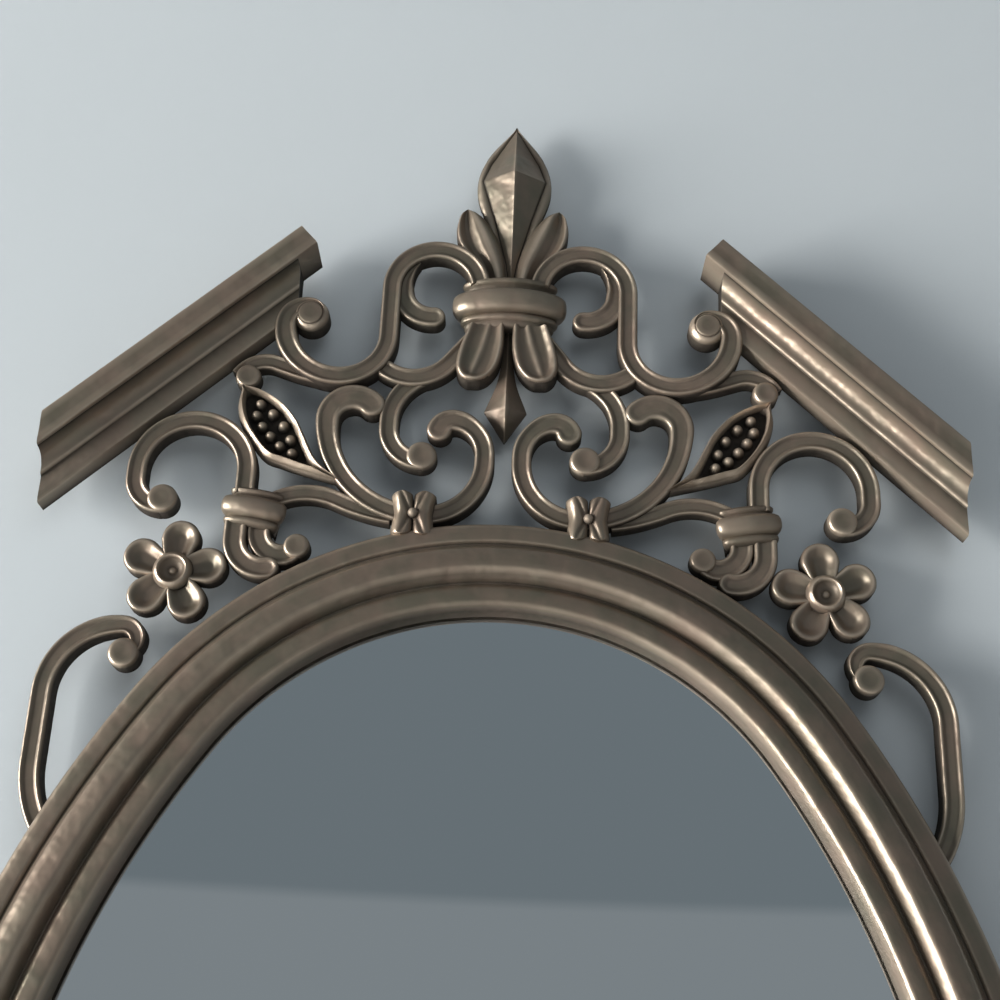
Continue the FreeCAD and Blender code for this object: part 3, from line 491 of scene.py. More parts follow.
def scroll(start, heading, moves, width, high, swell=((0, 1), (1, 1)), rise=((0, 0), (1, 0)),
           ends=(False, False)):
    # A bar of the crest: its section carried along a walk. Swell gives shares of the width at shares of the
    # way, and rise what is added to the height there. Where the bar swells its channel grows shallow. A
    # round end goes on for half a width.
    s = barShape
    spots, heads = walk(start, heading, moves)
    way = np.linspace(0, 1, len(spots))
    share = follow(way, swell)
    channel = s["channel"] * ramp(share, *s["channelFade"])
    rows = [spots, heads, width / 2 * share, channel, high + follow(way, rise), 0 * way]
    for wanted, at in zip(ends, (0, -1)):
        rows = roundEnd(rows, at) if wanted else rows
    spots, heads, half, channel, top, past = rows
    aside = half[:, None] * np.stack([-np.sin(heads), np.cos(heads)], -1)
    u = np.linspace(-1, 1, s["across"])[None]
    out = fromMiddle(past[:, None], u)
    # rims are rubbed gilt with painted highlight; the floor is darkened and the sides darken fully as
    # painted shade
    wornAndHighlight = s["rubAndHighlightStrength"] * bell(out, *s["rubAndHighlight"])
    hollow = s["floorStrength"] * bell(out, *s["floorDarkening"]) + s["edgeStrength"] * ramp(out, *s["edgeDarkening"])
    height = barTop(out, top[:, None], channel[:, None])
    return relief(spots + aside, spots - aside, (1 + u) / 2, height, wornAndHighlight, hollow)


# rows of round ends: radius share, height from the top, rub with painted highlight, dirt with painted shade
knobRows = [(1, -2.4, 0, 0.8), (0.985, -1.6, 0.2, 0.4), (0.94, -0.85, 0.7, 0), (0.87, -0.3, 1, 0),
            (0.78, 0, 0.6, 0), (0.62, 0.05, 0.2, 0), (0.45, -0.05, 0, 0.1), (0.25, -0.15, 0, 0.15),
            (0.03, -0.2, 0, 0.15)]
voluteRows = [(1, -3, 0, 0.8), (0.97, -2.2, 0.3, 0.3), (0.93, -1.6, 0.8, 0), (0.86, -1.05, 1, 0),
              (0.78, -0.5, 0.9, 0), (0.72, -0.3, 0.4, 0.2), (0.69, -0.45, 0, 0.7), (0.66, -0.2, 0.1, 0.4),
              (0.62, 0.25, 0.6, 0), (0.55, 0.4, 0.3, 0), (0.3, 0.3, 0, 0.1), (0.03, 0.25, 0, 0.1)]

widths = {"bar": 7.0, "arm": 6.2, "hook": 8.0}
depths = {"crest": 13.5, "heart": 13.0, "curl": 12.4, "arm": 11.8, "foot": 12.6}
rises = {"eye": 0.8, "curl": 0.3, "volute": 1.5}     # of round ends; the crest bar climbs to its volute
lastRound, bothRound = (False, True), (True, True)


def scrolls(bars, bosses=()):
    # The skins of a piece that is made of bars and of round ends.
    return [scroll(**bar) for bar in bars] + [boss(*end) for end in bosses]


crestScroll = {
    "bars": [{"start": (10.99, 64.85), "heading": 75, "width": widths["bar"], "high": depths["crest"],
              "moves": [(None, 1.4), (16.2, -165), (None, 20), (17.4, 90), (20, 90), (8.5, 90), (5, 75)],
              "swell": [(0, 1), (0.72, 1), (0.84, 1.15), (0.92, 1), (0.97, 0.6), (1, 0.15)],
              "rise": [(0, 0), (0.55, 0), (0.75, rises["volute"]), (1, rises["volute"])]},
             {"start": (33.4, 72.7), "heading": -30, "width": widths["hook"], "high": depths["curl"],
              "moves": [(12.4, -60), (11.4, -95)], "ends": lastRound,
              "swell": [(0, 0.03), (0.1, 0.4), (0.2, 0.72), (0.4, 1.1), (0.65, 1.05), (1, 1)]}],
    "bosses": [((71.9, 49.0), 6.6, depths["crest"] + rises["volute"], voluteRows)]}
pair("crestScroll", "crest_scroll", scrolls(**crestScroll), gilding)

curlArm = {
    "bars": [{"start": (60, 24.4), "heading": 5, "width": widths["arm"], "high": depths["arm"],
              "moves": [(75, 14), (None, 5), (11, -80)]}],
    "bosses": [((92.5, 24), 4.6, depths["arm"] + rises["eye"], knobRows)]}
pair("curlArm", "curl_arm", scrolls(**curlArm), gilding)

heartScroll = {
    "bars": [{"start": (47.24, 14.36), "heading": 45, "width": widths["bar"], "high": depths["heart"],
              "moves": [(9, -135), (35.3, -90), (20.8, -90), (None, 2.4), (14, -60), (9, -30), (5, -75)],
              "swell": [(0, 1.35), (0.07, 1.4), (0.2, 1.12), (0.33, 1), (0.9, 1), (1, 1.3)],
              "ends": bothRound}]}
pair("heartScroll", "heart_scroll", scrolls(**heartScroll), gilding)

innerCurl = {
    "bars": [{"start": (10.5, 44.9), "heading": -52, "width": widths["bar"], "high": depths["curl"],
              "moves": [(None, 16), (17, 52), (17, 35)], "ends": lastRound},
             {"start": (29.3, 26.5), "heading": -25, "width": widths["bar"], "high": depths["curl"],
              "moves": [(20, -65), (None, 2.5), (12.6, -90)],
              "rise": [(0, -0.9), (0.15, -0.9), (0.4, 0), (1, 0)]}],
    "bosses": [((28.7, -4.75), 5.5, depths["curl"] + rises["curl"], knobRows)]}
pair("innerCurl", "inner_curl", scrolls(**innerCurl), gilding)

footArm = {
    "bars": [{"start": (38, -27.6), "heading": 8, "width": widths["arm"], "high": depths["arm"],
              "moves": [(70, 16), (25, -52)]}]}
pair("footArm", "foot_arm", scrolls(**footArm), gilding)

archScroll = {
    "bars": [{"start": (89.2, -21.3), "heading": 90, "width": widths["bar"], "high": depths["heart"],
              "moves": [(None, 8), (19.2, -180), (None, 3.5), (9.6, -90)]}],
    "bosses": [((117.4, -24.5), 5.3, depths["heart"] + rises["eye"], knobRows)]}
pair("archScroll", "arch_scroll", scrolls(**archScroll), gilding)

shoulderFoot = {
    "bars": [{"start": (91, -32), "heading": -90, "width": widths["hook"], "high": depths["foot"],
              "moves": [(None, 6), (10.5, -100)], "ends": lastRound},
             {"start": (83, -32), "heading": -90, "width": widths["hook"], "high": depths["arm"],
              "moves": [(None, 3), (8.3, -90), (5, -60)]}],
    "bosses": [((69.5, -40), 4.6, depths["arm"] + rises["eye"], knobRows)]}
pair("shoulderFoot", "shoulder_foot", scrolls(**shoulderFoot), gilding)

sideScroll = {
    "bars": [{"start": (141.9, -139.0), "heading": 55, "width": widths["bar"], "high": depths["heart"],
              "moves": [(38, 35), (None, 23), (24, 90), (5.4, 150)],
              "swell": [(0, 1), (0.8, 1), (0.93, 0.8), (1, 0.4)]}],
    "bosses": [((123.5, -80.2), 5.3, depths["heart"] + rises["eye"], knobRows)]}
pair("sideScroll", "side_scroll", scrolls(**sideScroll), gilding)
print("scrolls made")

# clasps

collarShape = {                  # rows are height off the wall and drop from the top
    "x": 0.0, "half": 23.7, "front": 19.0, "plan": 36.0, "top": 66.3, "taper": 0.80, "tilt": 0.0,
    "rows": [(13.0, 0), (14.8, -0.15), (15.5, -0.8), (15.5, -1.6), (14.9, -2.3), (14.0, -2.7), (13.5, -3.7),
             (13.7, -4.8), (14.6, -5.4), (16.4, -5.7), (17.9, -6.2), (18.7, -7.2), (19.0, -8.8),
             (19.0, -11.4), (18.7, -12.9), (17.9, -14.0), (16.4, -14.6), (15.2, -14.8), (15.7, -15.2),
             (16.0, -16.0), (15.7, -16.9), (14.9, -17.3), (14.3, -17.6), (14.3, -18.6), (13.7, -19.6),
             (12.4, -20.2)]}
bandShape = {
    "x": 85.4, "half": 13.2, "front": 16.5, "plan": 24.0, "top": -20.0, "taper": 0.85, "tilt": 8.0,
    "rows": [(11.8, 0), (13.4, -0.2), (14.0, -0.9), (13.8, -1.8), (13.0, -2.5), (13.2, -3.0), (14.7, -3.5),
             (15.9, -4.4), (16.4, -5.7), (16.5, -7.0), (16.3, -8.4), (15.5, -9.7), (14.0, -10.6),
             (13.6, -10.8), (14.1, -11.3), (14.2, -12.2), (13.6, -13.1), (12.6, -13.5), (11.8, -13.9)]}
claspShape = {"across": 41, "endPower": 10, "endShare": 0.35, "footShare": 0.55, "rearShare": 0.5,
              "rubAndHighlightFrom": 0.45, "rubAndHighlightStrength": 0.5, "darkBelow": 0.5, "darkeningStrength": 1.4, "film": 0.05}


def clasp(shape):
    # A profile of heights and drops turned about an upright axis behind the wall. Towards both ends the
    # spread of each row follows how far it stands out, so the ends are round. The whole may lean about its
    # middle.
    s, common = shape, claspShape
    height, drop = np.array(s["rows"], float).T
    back = s["plan"] - s["front"]
    low = height.min()
    wide = math.asin(s["half"] / s["plan"])
    share = (height - low) / (height.max() - low)
    t = np.sin(np.linspace(-quarterTurn, quarterTurn, common["across"]))[:, None]
    turn = t * wide * (s["taper"] + (1 - s["taper"]) * share)
    pull = np.sqrt(np.clip(1 - np.abs(t) ** common["endPower"], 0, 1))
    foot = low * common["footShare"]
    deep = back + foot + (height - foot) * (common["endShare"] + (1 - common["endShare"]) * pull)
    front = np.stack([s["x"] + deep * np.sin(turn), back - deep * np.cos(turn),
                      np.broadcast_to(s["top"] + drop, deep.shape)], -1)
    rear = front[:, [-1, 0]].copy()
    rear[..., 1] = np.minimum(rear[..., 1] + low * common["rearShare"], 0)
    points = np.concatenate([front, rear], 1)
    lean = math.radians(s["tilt"])
    middle = np.array([s["x"], 0, s["top"] + drop[-1] / 2])
    level = np.array([[math.cos(lean), 0, -math.sin(lean)], [0, 1, 0], [math.sin(lean), 0, math.cos(lean)]])
    points = middle + (points - middle) @ level.T
    # rows that stand out most are rubbed gilt with painted highlight; lower rows are darkened, all gets an
    # even film, and the back darkens fully as painted shade
    wornAndHighlight = np.clip(share - common["rubAndHighlightFrom"], 0, 1) * common["rubAndHighlightStrength"]
    hollow = np.clip(common["darkBelow"] - share, 0, 1) * common["darkeningStrength"] + common["film"]
    return skin(points, np.concatenate([wornAndHighlight, [0, 0]])[None], np.concatenate([hollow, [1, 1]])[None])


piece("finialCollar", "finial_collar", [clasp(collarShape)], gilding, sharp=45)
pair("shoulderBand", "shoulder_band", [clasp(bandShape)], gilding, sharp=45)
print("clasps made")

# finial, plume and pendant

budShape = {                     # outline as half width and level; kite and ridge as level and value
    "edge": [(3.0, 64.3), (7.6, 86), (13.9, 106), (10.9, 121), (0.15, 136)],
    "kite": [(64.3, 0.3), (75.7, 1.9), (94.5, 6.8), (110.7, 11.8), (119.4, 9.0), (134.3, 0.1)],
    "ridge": [(64, 8.4), (86, 11.0), (110.7, 17.6), (121, 13.3), (136, 8.6)],
    "kiteLimit": 0.87, "facetFall": 0.66, "margin": 8.0, "swell": 0.8, "groove": 0.5, "grooveWide": 0.12,
    "lowest": 6.5, "steps": 130, "facetSteps": 16, "marginSteps": 15, "middle": 0.004, "brim": 0.99,
    "ridgeRubAndHighlight": (0.0, 0.05), "ridgeStrength": 0.6, "marginStrength": 0.5, "grooveDarkening": (0.0, 0.12),
    "darkeningStrength": 0.9, "brimStrength": 0.8, "shade": 0.14, "shadeFade": (110.7, 116.7)}


def bud():
    # An outline over height with a kite inside it. In the kite four flat facets fall away from a ridge that
    # is highest at the belly; outside it a margin swells a little and falls to the outline. Above the belly
    # the bud is darker with painted shade.
    s = budShape
    edge = through(s["edge"], s["steps"])
    wide, z = edge.T[..., None]
    inner = np.minimum(follow(z, s["kite"]), s["kiteLimit"] * wide)
    ridge = follow(z, s["ridge"])
    out = np.linspace(s["middle"], 1, s["facetSteps"])[None]
    past = np.linspace(0, 1, s["marginSteps"])[None]
    bulge = np.sin(math.pi * past)
    facet = ridge - s["facetFall"] * out * inner
    brink = ridge - s["facetFall"] * inner - s["groove"]
    margin = brink + (s["margin"] - brink) * past + s["swell"] * bulge
    start = inner + s["grooveWide"]
    at = np.concatenate([out * inner, start + (wide - start) * past], 1) / wide
    height = np.maximum(np.concatenate([facet, margin], 1), s["lowest"])
    # the ridge and the swell of the margin are rubbed gilt with painted highlight; the groove is darkened
    # and the brims darken fully as painted shade
    wornAndHighlight = np.concatenate([s["ridgeStrength"] * bell(out, *s["ridgeRubAndHighlight"]), s["marginStrength"] * bulge], 1)
    outside = s["darkeningStrength"] * bell(past, *s["grooveDarkening"]) + s["brimStrength"] * (past > s["brim"])
    dirtAndShadeMix = np.concatenate([s["darkeningStrength"] * (out > s["brim"]), outside], 1)
    dirtAndShadeMix = np.clip(dirtAndShadeMix + s["shade"] * ramp(z, *s["shadeFade"]), 0, 1)
    both = [np.concatenate([np.flip(v, -1), v], -1) for v in (height, wornAndHighlight, dirtAndShadeMix)]
    across = np.concatenate([(1 - at[:, ::-1]) / 2, (1 + at) / 2], 1)
    return relief(edge * [-1, 1], edge, across, *both)


leafShape = {                    # across: the fall below the top, from the inner edge to the outer
    "inner": [(1.4, 63.6), (2.6, 76), (5.8, 86.5), (11.2, 94.6), (17.1, 98.3)],
    "outer": [(8.5, 63.6), (13.4, 73.5), (19.2, 81.5), (20.9, 87.6), (20.0, 94.4), (17.3, 98.3)],
    "across": [(-1, 3.0), (-0.9, 1.5), (-0.72, 0.5), (-0.5, 0.05), (-0.32, 0), (-0.12, 0.4), (0.08, 1.4),
               (0.3, 2.3), (0.5, 2.2), (0.68, 1.2), (0.8, 0.4), (0.88, 0.3), (0.95, 0.9), (1, 2.4)],
    "high": 11.6, "tipFrom": 0.7, "tipFall": 2.4, "rubsAndHighlights": [(-0.4, 0.2), (0.84, 0.09)],
    "floorDarkening": (0.38, 0.2), "floorStrength": 0.3, "edge": 0.95, "edgeStrength": 0.8,
    "steps": 70, "points": 41}


def leaf():
    # Between an inner and an outer edge: a broad roll along the inner side, a long hollow and a thin outer
    # margin, all sinking together at the tip.
    s = leafShape
    inner, outer = through(s["inner"], s["steps"]), through(s["outer"], s["steps"])
    u = np.linspace(-1, 1, s["points"])[None]
    tip = ramp(np.linspace(0, 1, s["steps"])[:, None], s["tipFrom"], 1) ** 2
    height = s["high"] - follow(u, s["across"]) * (1 - tip) - s["tipFall"] * tip
    # the roll and the margin are rubbed gilt with painted highlight; the sunk middle is darkened and the
    # edges darken fully as painted shade
    wornAndHighlight = sum(bell(u, at, wide) for at, wide in s["rubsAndHighlights"]) * (1 - tip)
    hollow = s["floorStrength"] * bell(u, *s["floorDarkening"]) * (1 - tip)
    hollow = hollow + s["edgeStrength"] * (np.abs(u) > s["edge"])
    return relief(inner, outer, (1 + u) / 2, height, wornAndHighlight, hollow)


tongueShape = {
    "inner": [(1.5, 47.5), (1.5, 38.5), (3.2, 31), (6.3, 26.2), (9.4, 24.2), (12, 23.95)],
    "outer": [(14.2, 47.5), (17.2, 38.6), (18.4, 31.6), (17.3, 26.8), (14.8, 24.3), (12.05, 23.95)],
    "high": 14.2, "channel": 1.5, "rim": 0.84, "flat": 0.5, "drop": 2.6, "end": 6.5, "lift": 0.9,
    "liftTurn": 1.7, "rib": 0.8, "ribFrom": -0.15, "ribRun": 0.55, "ribWide": 0.17, "ribFade": (0.75, 0.45),
    "rimRubAndHighlight": 0.08, "rimStrength": 0.9, "ribStrength": 0.6, "floorDarkening": (0.0, 0.5), "floorStrength": 0.25,
    "edge": 0.97, "edgeStrength": 0.9, "steps": 80, "points": 41}


def tongue():
    # A long spoon: one rolled rim down both sides and round the end, a hollow inside it and a rib that runs
    # outwards down three quarters of it. The end lifts a little.
    s = tongueShape
    inner, outer = through(s["inner"], s["steps"]), through(s["outer"], s["steps"])
    u = np.linspace(-1, 1, s["points"])[None]
    t = np.linspace(0, 1, s["steps"])[:, None]
    level = (inner + outer)[:, 1:] / 2 - s["inner"][-1][1]
    out = fromMiddle(ramp(level, s["end"], 0), u)
    rib = bell(u, s["ribFrom"] + s["ribRun"] * t, s["ribWide"]) * ramp(t, *s["ribFade"])
    height = barTop(out, s["high"], s["channel"], s["rim"], s["flat"], s["drop"])
    height = height + s["rib"] * rib + s["lift"] * np.sin(s["liftTurn"] * t) ** 2
    # the rim and the rib are rubbed gilt with painted highlight; the sunk middle is darkened and the edges
    # darken fully as painted shade
    wornAndHighlight = s["rimStrength"] * bell(out, s["rim"], s["rimRubAndHighlight"]) + s["ribStrength"] * rib ** 2
    hollow = s["floorStrength"] * bell(out, *s["floorDarkening"]) * (1 - rib)
    hollow = hollow + s["edgeStrength"] * (out > s["edge"])
    return relief(inner, outer, (1 + u) / 2, height, np.clip(wornAndHighlight, 0, 1), hollow)


pendantShape = {"side": [(1.5, 48.1), (1.9, 38), (3.4, 26.8), (7.6, 15.0)], "tip": (0.1, 3.0), "low": 7.0,
                "ridge": 12.5, "fullHalf": 4.5, "leastRise": 0.25, "ridgeRubAndHighlight": (0.0, 0.1), "edgeDarkening": 0.35,
                "stemSteps": 50, "pointSteps": 24, "points": 21}


def pendant():
    # A kite on a flared stem: two curved sides, a point below, and two faces that meet on a middle ridge.
    s = pendantShape
    stem = through(s["side"], s["stemSteps"])
    way = np.linspace(0, 1, s["pointSteps"])[1:, None]
    side = np.concatenate([stem, stem[-1] + way * (np.array(s["tip"]) - stem[-1])])
    u = np.linspace(-1, 1, s["points"])[None]
    rise = np.clip(side[:, :1] / s["fullHalf"], s["leastRise"], 1)
    height = s["low"] + (s["ridge"] - s["low"]) * rise * (1 - np.abs(u))
    # the ridge is rubbed gilt with painted highlight; the faces darken towards their edges
    wornAndHighlight, hollow = bell(u, *s["ridgeRubAndHighlight"]), s["edgeDarkening"] * np.abs(u)
    return relief(side * [-1, 1], side, (1 + u) / 2, height, wornAndHighlight, hollow)


piece("finialBud", "finial_bud", [bud()], gilding, sharp=24)
pair("finialLeaf", "finial_leaf", [leaf()], gilding)
pair("plumeTongue", "plume_tongue", [tongue()], gilding)
piece("pendantDrop", "pendant_drop", [pendant()], gilding, sharp=24)
print("finial made")

# pods, bows and rosettes

podShape = {                     # rim widths along the way; crests and fades are shares of a rim
    "upper": [(93.8, 20), (87.0, 18.4), (79.6, 14.2), (73.9, 8), (70.6, 2), (65.4, -7.6), (57, -15.4)],
    "lower": [(94.2, 20), (95.0, 12), (92.2, 3), (84.6, -6.8), (78, -9.6), (70.2, -12), (57.1, -15.5)],
    "upperRim": [(0, 1.2), (0.3, 2.0), (0.7, 2.9), (1, 2.4)], "lowerRim": [(0, 2.4), (0.3, 2.9), (1, 2.8)],
    "high": 13.2, "floor": 8.2, "fullField": 3.0, "upperCrest": 0.3, "lowerCrest": 0.75, "lean": 1.7,
    "leanOver": 0.6, "edgeFall": 1.6, "edgeWide": 0.25, "steepest": 0.98, "floorFade": (0.88, 1.08),
    "rubAndHighlight": (0.5, 0.55), "rubAndHighlightPower": 0.3, "darkeningFade": (0.9, 1.05), "edge": 0.05, "edgeStrength": 0.9,
    "steps": 90, "rimSteps": 9, "rimFoot": 1.1, "thin": 0.1}


def pod():
    # From tip to tip: along each edge a rim of its own width, and a sunk field between them. The share k
    # goes from 0 at the outline to 1 at a rim's inner side and 2 in the field. The upper rim falls towards
    # the field and the lower one away from it.
    s = podShape
    upper, lower = through(s["upper"], s["steps"]), through(s["lower"], s["steps"])
    t = np.linspace(0, 1, s["steps"])[:, None]
    wide = np.maximum(np.linalg.norm(upper - lower, axis=1), s["thin"])[:, None]
    rims = [np.minimum(follow(t, s[rim]) / wide, 0.5) for rim in ("upperRim", "lowerRim")]
    k = np.append(np.linspace(0, 1, s["rimSteps"]), s["rimFoot"])
    across = np.concatenate([rims[0] * k, 0 * t + 0.5, 1 - rims[1] * k[::-1]], 1)
    crest = np.repeat([s["upperCrest"], s["lowerCrest"]], [len(k) + 1, len(k)])[None]
    k = np.concatenate([k, [2], k[::-1]])[None]
    deep = np.clip((1 - rims[0] - rims[1]) * wide / s["fullField"], 0, 1)
    lean = s["lean"] * ramp(np.abs(k - crest), 0, s["leanOver"])
    edge = np.clip(1 - k / s["edgeWide"], 0, s["steepest"])
    outside = s["edgeFall"] * (1 - np.sqrt(1 - edge ** 2)) + lean
    inside = (s["high"] - s["floor"] - lean) * deep * ramp(k, *s["floorFade"])
    # the rims are rubbed gilt with painted highlight; the sunk field is darkened and the outline darkens
    # fully as painted shade
    wornAndHighlight = np.clip(1 - np.abs(k - s["rubAndHighlight"][0]) / s["rubAndHighlight"][1], 0, 1) ** s["rubAndHighlightPower"]
    hollow = ramp(k, *s["darkeningFade"]) * deep + s["edgeStrength"] * (k < s["edge"])
    return relief(upper, lower, across, s["high"] - outside - inside, wornAndHighlight, np.clip(hollow, 0, 1))


beadShape = {
    "spots": [(87.2, 13.6), (88.2, 9.2), (85.8, 5.0), (82.6, 1.3), (79.0, -2.4), (74.4, -5.0), (82.4, 10.0),
              (78.2, 5.4), (75.4, 0.2)],
    "reach": 2.2, "floor": 8.0, "high": 12.0, "steps": 9, "sides": 24, "rubAndHighlightPower": 8, "darkeningPower": 4}


def beads():
    # Half rounds, rubbed gilt with painted highlight on top and darkened with painted shade at the foot.
    s = beadShape
    share, height, up = dome(s["floor"], s["high"], s["steps"])
    rows = np.stack([share, height, up ** s["rubAndHighlightPower"], 1 - up ** s["darkeningPower"]], -1)
    return [turned(spot, s["reach"], rows, s["sides"]) for spot in s["spots"]]


bowShape = {                     # slit and side are the edges of the right wrap, from the centre
    "slit": [(3.6, -8.1), (0.5, -7.0), (0.15, -3.4), (0.2, 0), (0.15, 3.4), (0.5, 7.0), (3.6, 8.1)],
    "side": [(3.8, -8.1), (7.2, -7.2), (7.1, -3.6), (6.6, 0), (7.1, 3.6), (7.5, 7.2), (3.8, 8.1)],
    "centre": (30, -28.3), "high": 17.8, "plump": 2.6, "ridge": -0.1, "endFrom": 0.8, "endFall": 1.5,
    "waist": 0.5, "waistWide": 0.25, "crease": 0.9, "creaseFrom": -0.75, "creaseRun": 1.1,
    "creaseWide": 0.22, "creaseFade": (0.9375, 0.3125), "creaseDarkening": 0.3, "rubAndHighlight": (0.6, 0.3),
    "rubAndHighlightStrength": 0.7, "edge": 0.96, "edgeStrength": 0.9, "knot": 1.9, "knotFoot": -1.8, "knotTop": 0.6,
    "knotSteps": 8, "steps": 61, "points": 25}


def bow():
    # Two plump upright wraps, drawn in a little by a small round knot, with creases that fan out from it.
    s = bowShape
    slit, side = through(s["slit"], s["steps"]), through(s["side"], s["steps"])
    u = np.linspace(-1, 1, s["points"])[None]
    t = np.abs(np.linspace(-1, 1, s["steps"]))[:, None]
    ends = np.sqrt(1 - ramp(t, s["endFrom"], 1) ** 2)
    fold = bell(u, s["creaseFrom"] + s["creaseRun"] * t, s["creaseWide"]) * ramp(t, *s["creaseFade"])
    height = s["high"] - s["plump"] * np.abs(u - s["ridge"]) ** 3 - s["endFall"] * (1 - ends)
    height = height - s["waist"] * bell(t, 0, s["waistWide"]) - s["crease"] * fold
    # the wraps are rubbed gilt with painted highlight; creases are darkened and the edges darken fully as
    # painted shade; the knot is rubbed on top and shaded at its foot
    wornAndHighlight = s["rubAndHighlightStrength"] * bell(u, *s["rubAndHighlight"]) * ends * (1 - fold)
    hollow = np.clip(s["edgeStrength"] * (np.abs(u) > s["edge"]) + s["creaseDarkening"] * fold, 0, 1)
    wraps = [relief(s["centre"] + slit * [way, 1], s["centre"] + side * [way, 1], (1 + u) / 2, height, wornAndHighlight,
                    hollow) for way in (1, -1)]
    share, rise, up = dome(s["knotFoot"], s["knotTop"], s["knotSteps"])
    knot = np.stack([share, rise, up ** 2, np.sqrt(1 - np.minimum(up, 1) ** 2)], -1)
    return wraps + [boss(s["centre"], s["knot"], s["high"], knot)]


rosetteShape = {                 # half widths of a petal along it; rows as those of round ends
    "centre": (110.8, -50.5), "turn": 96.5, "petals": 5, "root": 3.5, "tip": 18.6,
    "half": [(3.5, 3.8), (7, 5.3), (11, 6.6), (18.6, 6.7)], "high": 12.2, "dish": 2.2, "rim": 0.82,
    "flat": 0.2, "drop": 2.0, "rimRubAndHighlight": 0.1, "rimStrength": 0.9, "floorDarkening": (0.0, 0.3),
    "floorStrength": 0.15, "edge": 0.97, "edgeStrength": 0.9, "steps": 44, "points": 33,
    "hub": 7.6, "hubHigh": 9.0, "hubRows": [(1, -0.6, 0, 0.8), (0.9, 0, 0, 0.8), (0.03, 0, 0, 0.8)],
    "button": 6.9, "buttonHigh": 14.0,
    "buttonRows": [(1, -3.0, 0, 0.9), (0.97, -2.1, 0.1, 0.3), (0.9, -1.1, 0.4, 0), (0.81, -0.3, 0.8, 0),
                   (0.73, 0, 1, 0), (0.67, -0.3, 0.5, 0.1), (0.61, -1.1, 0, 0.2), (0.5, -2.1, 0, 0.3),
                   (0.36, -2.7, 0, 0.3), (0.22, -2.9, 0, 0.5), (0.16, -2.5, 0.3, 0.2), (0.10, -2.1, 0.7, 0),
                   (0.03, -2.0, 0.8, 0)]}


def petal(angle):
    # A spoon that points away from the centre: a rolled rim down both sides and round the end, and a hollow
    # that is open towards the button.
    s = rosetteShape
    along = np.linspace(s["root"], s["tip"], s["steps"])[:, None]
    wide = follow(along, s["half"])
    past = ramp(along, s["tip"] - wide[-1], s["tip"])
    half = wide * np.sqrt(1 - past ** 2) + thinnest
    way = np.array([math.cos(angle), math.sin(angle)])
    spine = np.array(s["centre"]) + along * way
    aside = half * [-way[1], way[0]]
    u = np.linspace(-1, 1, s["points"])[None]
    out = fromMiddle(past, u)
    height = barTop(out, s["high"], s["dish"], s["rim"], s["flat"], s["drop"])
    # the rim is rubbed gilt with painted highlight; the dish is darkened and the edges darken fully as
    # painted shade
    wornAndHighlight = s["rimStrength"] * bell(out, s["rim"], s["rimRubAndHighlight"])
    hollow = s["floorStrength"] * bell(out, *s["floorDarkening"]) + s["edgeStrength"] * (out > s["edge"])
    return relief(spine + aside, spine - aside, (1 + u) / 2, height, wornAndHighlight, hollow)


def rosette():
    # Petals at even angles round a low flat hub that is darkened as painted shade.
    s = rosetteShape
    first = math.radians(s["turn"])
    petals = [petal(first + i * wholeTurn / s["petals"]) for i in range(s["petals"])]
    return petals + [boss(s["centre"], s["hub"], s["hubHigh"], s["hubRows"])]


def rosetteButton():
    # A broad ring that slopes outwards, a round dish and a small middle nub.
    s = rosetteShape
    # the ring's crest and the nub are rubbed gilt with painted highlight; the side is darkened as painted
    # shade
    return boss(s["centre"], s["button"], s["buttonHigh"], s["buttonRows"], foot=s["hubHigh"])


pair("seedPod", "seed_pod", [pod()], gilding)
pair("seedBeads", "seed_beads", beads(), gilding)
pair("ribbonBow", "ribbon_bow", bow(), gilding)
pair("rosette", "rosette", rosette(), gilding)
pair("rosetteButton", "rosette_button", [rosetteButton()], gilding)
print("ornaments made")

# wall, floor, light and camera

roomShape = {"half": 2.5, "drop": -1.3, "wallGap": 0.0008}    # metres, as are lamps and camera
wallLook = {"cloud": (6, 3), "mix": (0, 1), "dark": (0.5432, 0.5917, 0.61595), "light": (0.56, 0.61, 0.635),
            "metallic": 0.0, "roughness": 0.85, "specular": 0.2}
floorLook = {"cloud": (4, 3), "mix": (0, 1), "dark": (0.672, 0.672, 0.6624), "light": (0.70, 0.70, 0.69),
             "metallic": 0.0, "roughness": 0.7}


def sheet(name, corners, material):
    mesh = bpy.data.meshes.new(name)
    mesh.from_pydata(corners, [], [(0, 1, 2, 3)])
    mesh.materials.append(material)
    thing = bpy.data.objects.new(name, mesh)
    bpy.context.scene.collection.objects.link(thing)
    return thing


def paintedWall():
    # Plain paint, seen from the front only: from behind, and for shadows, it lets everything through.
    material = mottled("wallPaint", wallLook)
    nodes, links = material.node_tree.nodes, material.node_tree.links
    shader = nodes["Principled BSDF"]
    shader.inputs["Specular IOR Level"].default_value = wallLook["specular"]
    clear = nodes.new("ShaderNodeBsdfTransparent")
    side, ray = nodes.new("ShaderNodeNewGeometry"), nodes.new("ShaderNodeLightPath")
    either = combine(nodes, links, "MAXIMUM", side.outputs["Backfacing"], ray.outputs["Is Shadow Ray"])
    mix = nodes.new("ShaderNodeMixShader")
    links.new(either, mix.inputs["Fac"])
    links.new(shader.outputs["BSDF"], mix.inputs[1])
    links.new(clear.outputs["BSDF"], mix.inputs[2])
    links.new(mix.outputs[0], nodes["Material Output"].inputs["Surface"])
    return material


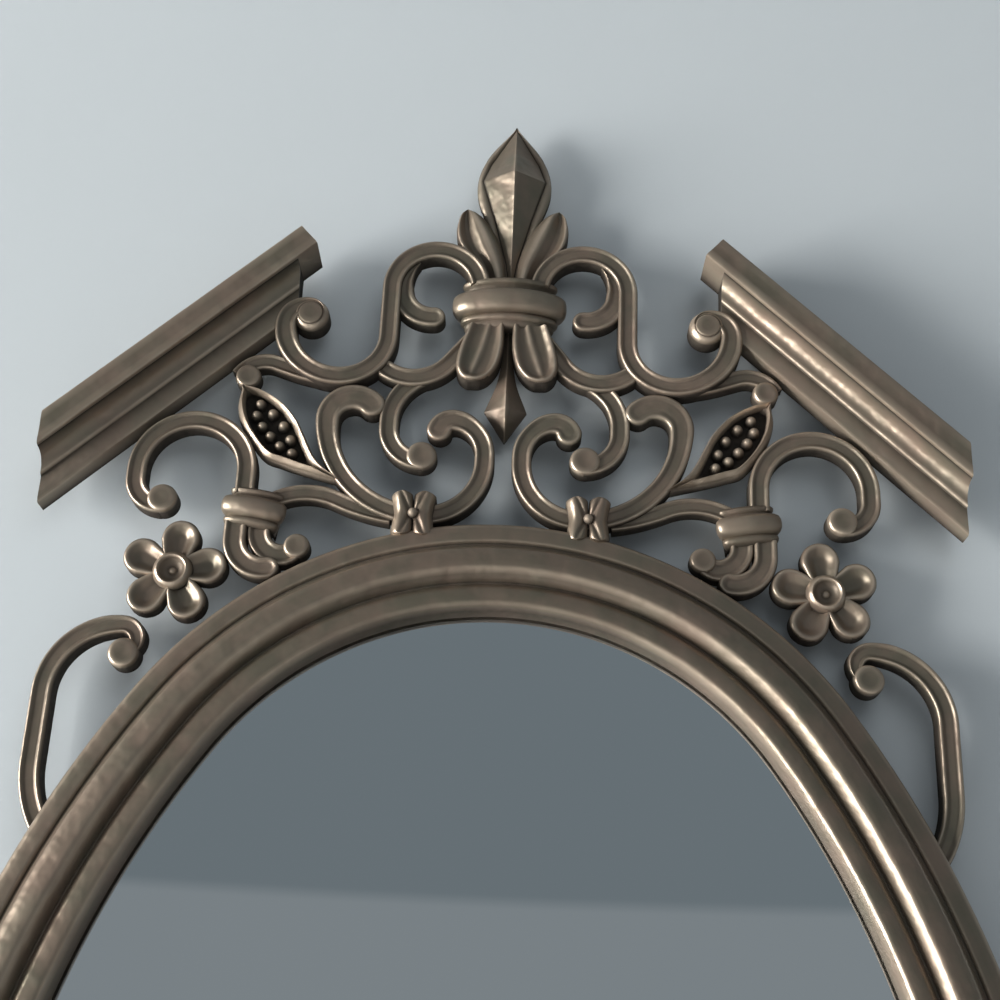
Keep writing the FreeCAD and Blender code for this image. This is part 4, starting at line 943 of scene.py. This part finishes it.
half, drop, gap = roomShape["half"], roomShape["drop"], roomShape["wallGap"]
wall = sheet("wall", [(-half, gap, drop), (half, gap, drop), (half, gap, half), (-half, gap, half)],
             paintedWall())
floor = sheet("floor", [(-half, -half, drop), (half, -half, drop), (half, half, drop), (-half, half, drop)],
              mottled("floorPaint", floorLook))

lampShape = {                    # the key light alone shows in polished things
    "keyLight": {"place": (-2.6, -0.8, -0.67), "aim": (0.0, 0.0, -0.02), "size": (1.2, 2.2), "watts": 200,
                 "colour": (1.0, 0.975, 0.945), "shows": True},
    "fillLight": {"place": (0.5, -1.7, 1.0), "aim": (0.0, 0.0, -0.1), "size": (1.4, 1.4), "watts": 7.5,
                  "colour": (0.95, 0.98, 1.0), "shows": False},
    "backLight": {"place": (0.0, 1.6, -0.28), "aim": (0.0, 0.0, -0.28), "size": (1.2, 1.2), "watts": 14,
                  "colour": (1.0, 1.0, 1.0), "shows": False}}

for name, values in lampShape.items():
    lamp = bpy.data.lights.new(name, "AREA")
    lamp.shape = "RECTANGLE"
    lamp.size, lamp.size_y = values["size"]
    lamp.energy = values["watts"]
    lamp.color = values["colour"]
    holder = bpy.data.objects.new(name, lamp)
    holder.location = values["place"]
    look = Vector(values["aim"]) - Vector(values["place"])
    holder.rotation_euler = look.to_track_quat("-Z", "Y").to_euler()
    holder.visible_glossy = values["shows"]
    bpy.context.scene.collection.objects.link(holder)

worldShape = {"ambient": (0.17, 0.18, 0.192), "upper": (0.150, 0.178, 0.195),
              "lower": (0.215, 0.242, 0.258), "backdrop": (0.72, 0.74, 0.75), "edge": (0.118, 0.126)}


def room():
    # The far side of the room: a shade darker above a level line, as polished things see it. The camera
    # sees a pale backdrop and everything else an even ambient light.
    s = worldShape
    world = bpy.data.worlds.new("room")
    world.use_nodes = True
    nodes, links = world.node_tree.nodes, world.node_tree.links
    place = nodes.new("ShaderNodeTexCoord")
    split = nodes.new("ShaderNodeSeparateXYZ")
    links.new(place.outputs["Generated"], split.inputs["Vector"])
    ray = nodes.new("ShaderNodeLightPath")
    above = spread(nodes, links, split.outputs["Z"], *s["edge"])
    seen = blend(nodes, links, above, s["lower"], s["upper"])
    glossy = blend(nodes, links, ray.outputs["Is Glossy Ray"], s["ambient"], seen)
    shown = blend(nodes, links, ray.outputs["Is Camera Ray"], glossy, s["backdrop"])
    links.new(shown, nodes["Background"].inputs["Color"])
    bpy.context.scene.world = world


room()

cameraShape = {"place": (0.00842, -0.493, -0.215), "turn": (112.01775, -2.24323, 0.15208), "lens": 54.0,
               "sensor": 36.0, "nearest": 0.01}
eye = bpy.data.cameras.new("eye")
eye.sensor_fit = "HORIZONTAL"
eye.sensor_width = cameraShape["sensor"]
eye.lens = cameraShape["lens"]
eye.clip_start = cameraShape["nearest"]
viewer = bpy.data.objects.new("eye", eye)
viewer.location = cameraShape["place"]
viewer.rotation_euler = [math.radians(a) for a in cameraShape["turn"]]
bpy.context.scene.collection.objects.link(viewer)
bpy.context.scene.camera = viewer
bpy.context.scene.view_settings.view_transform = "Standard"
print("stage, light and camera ready")
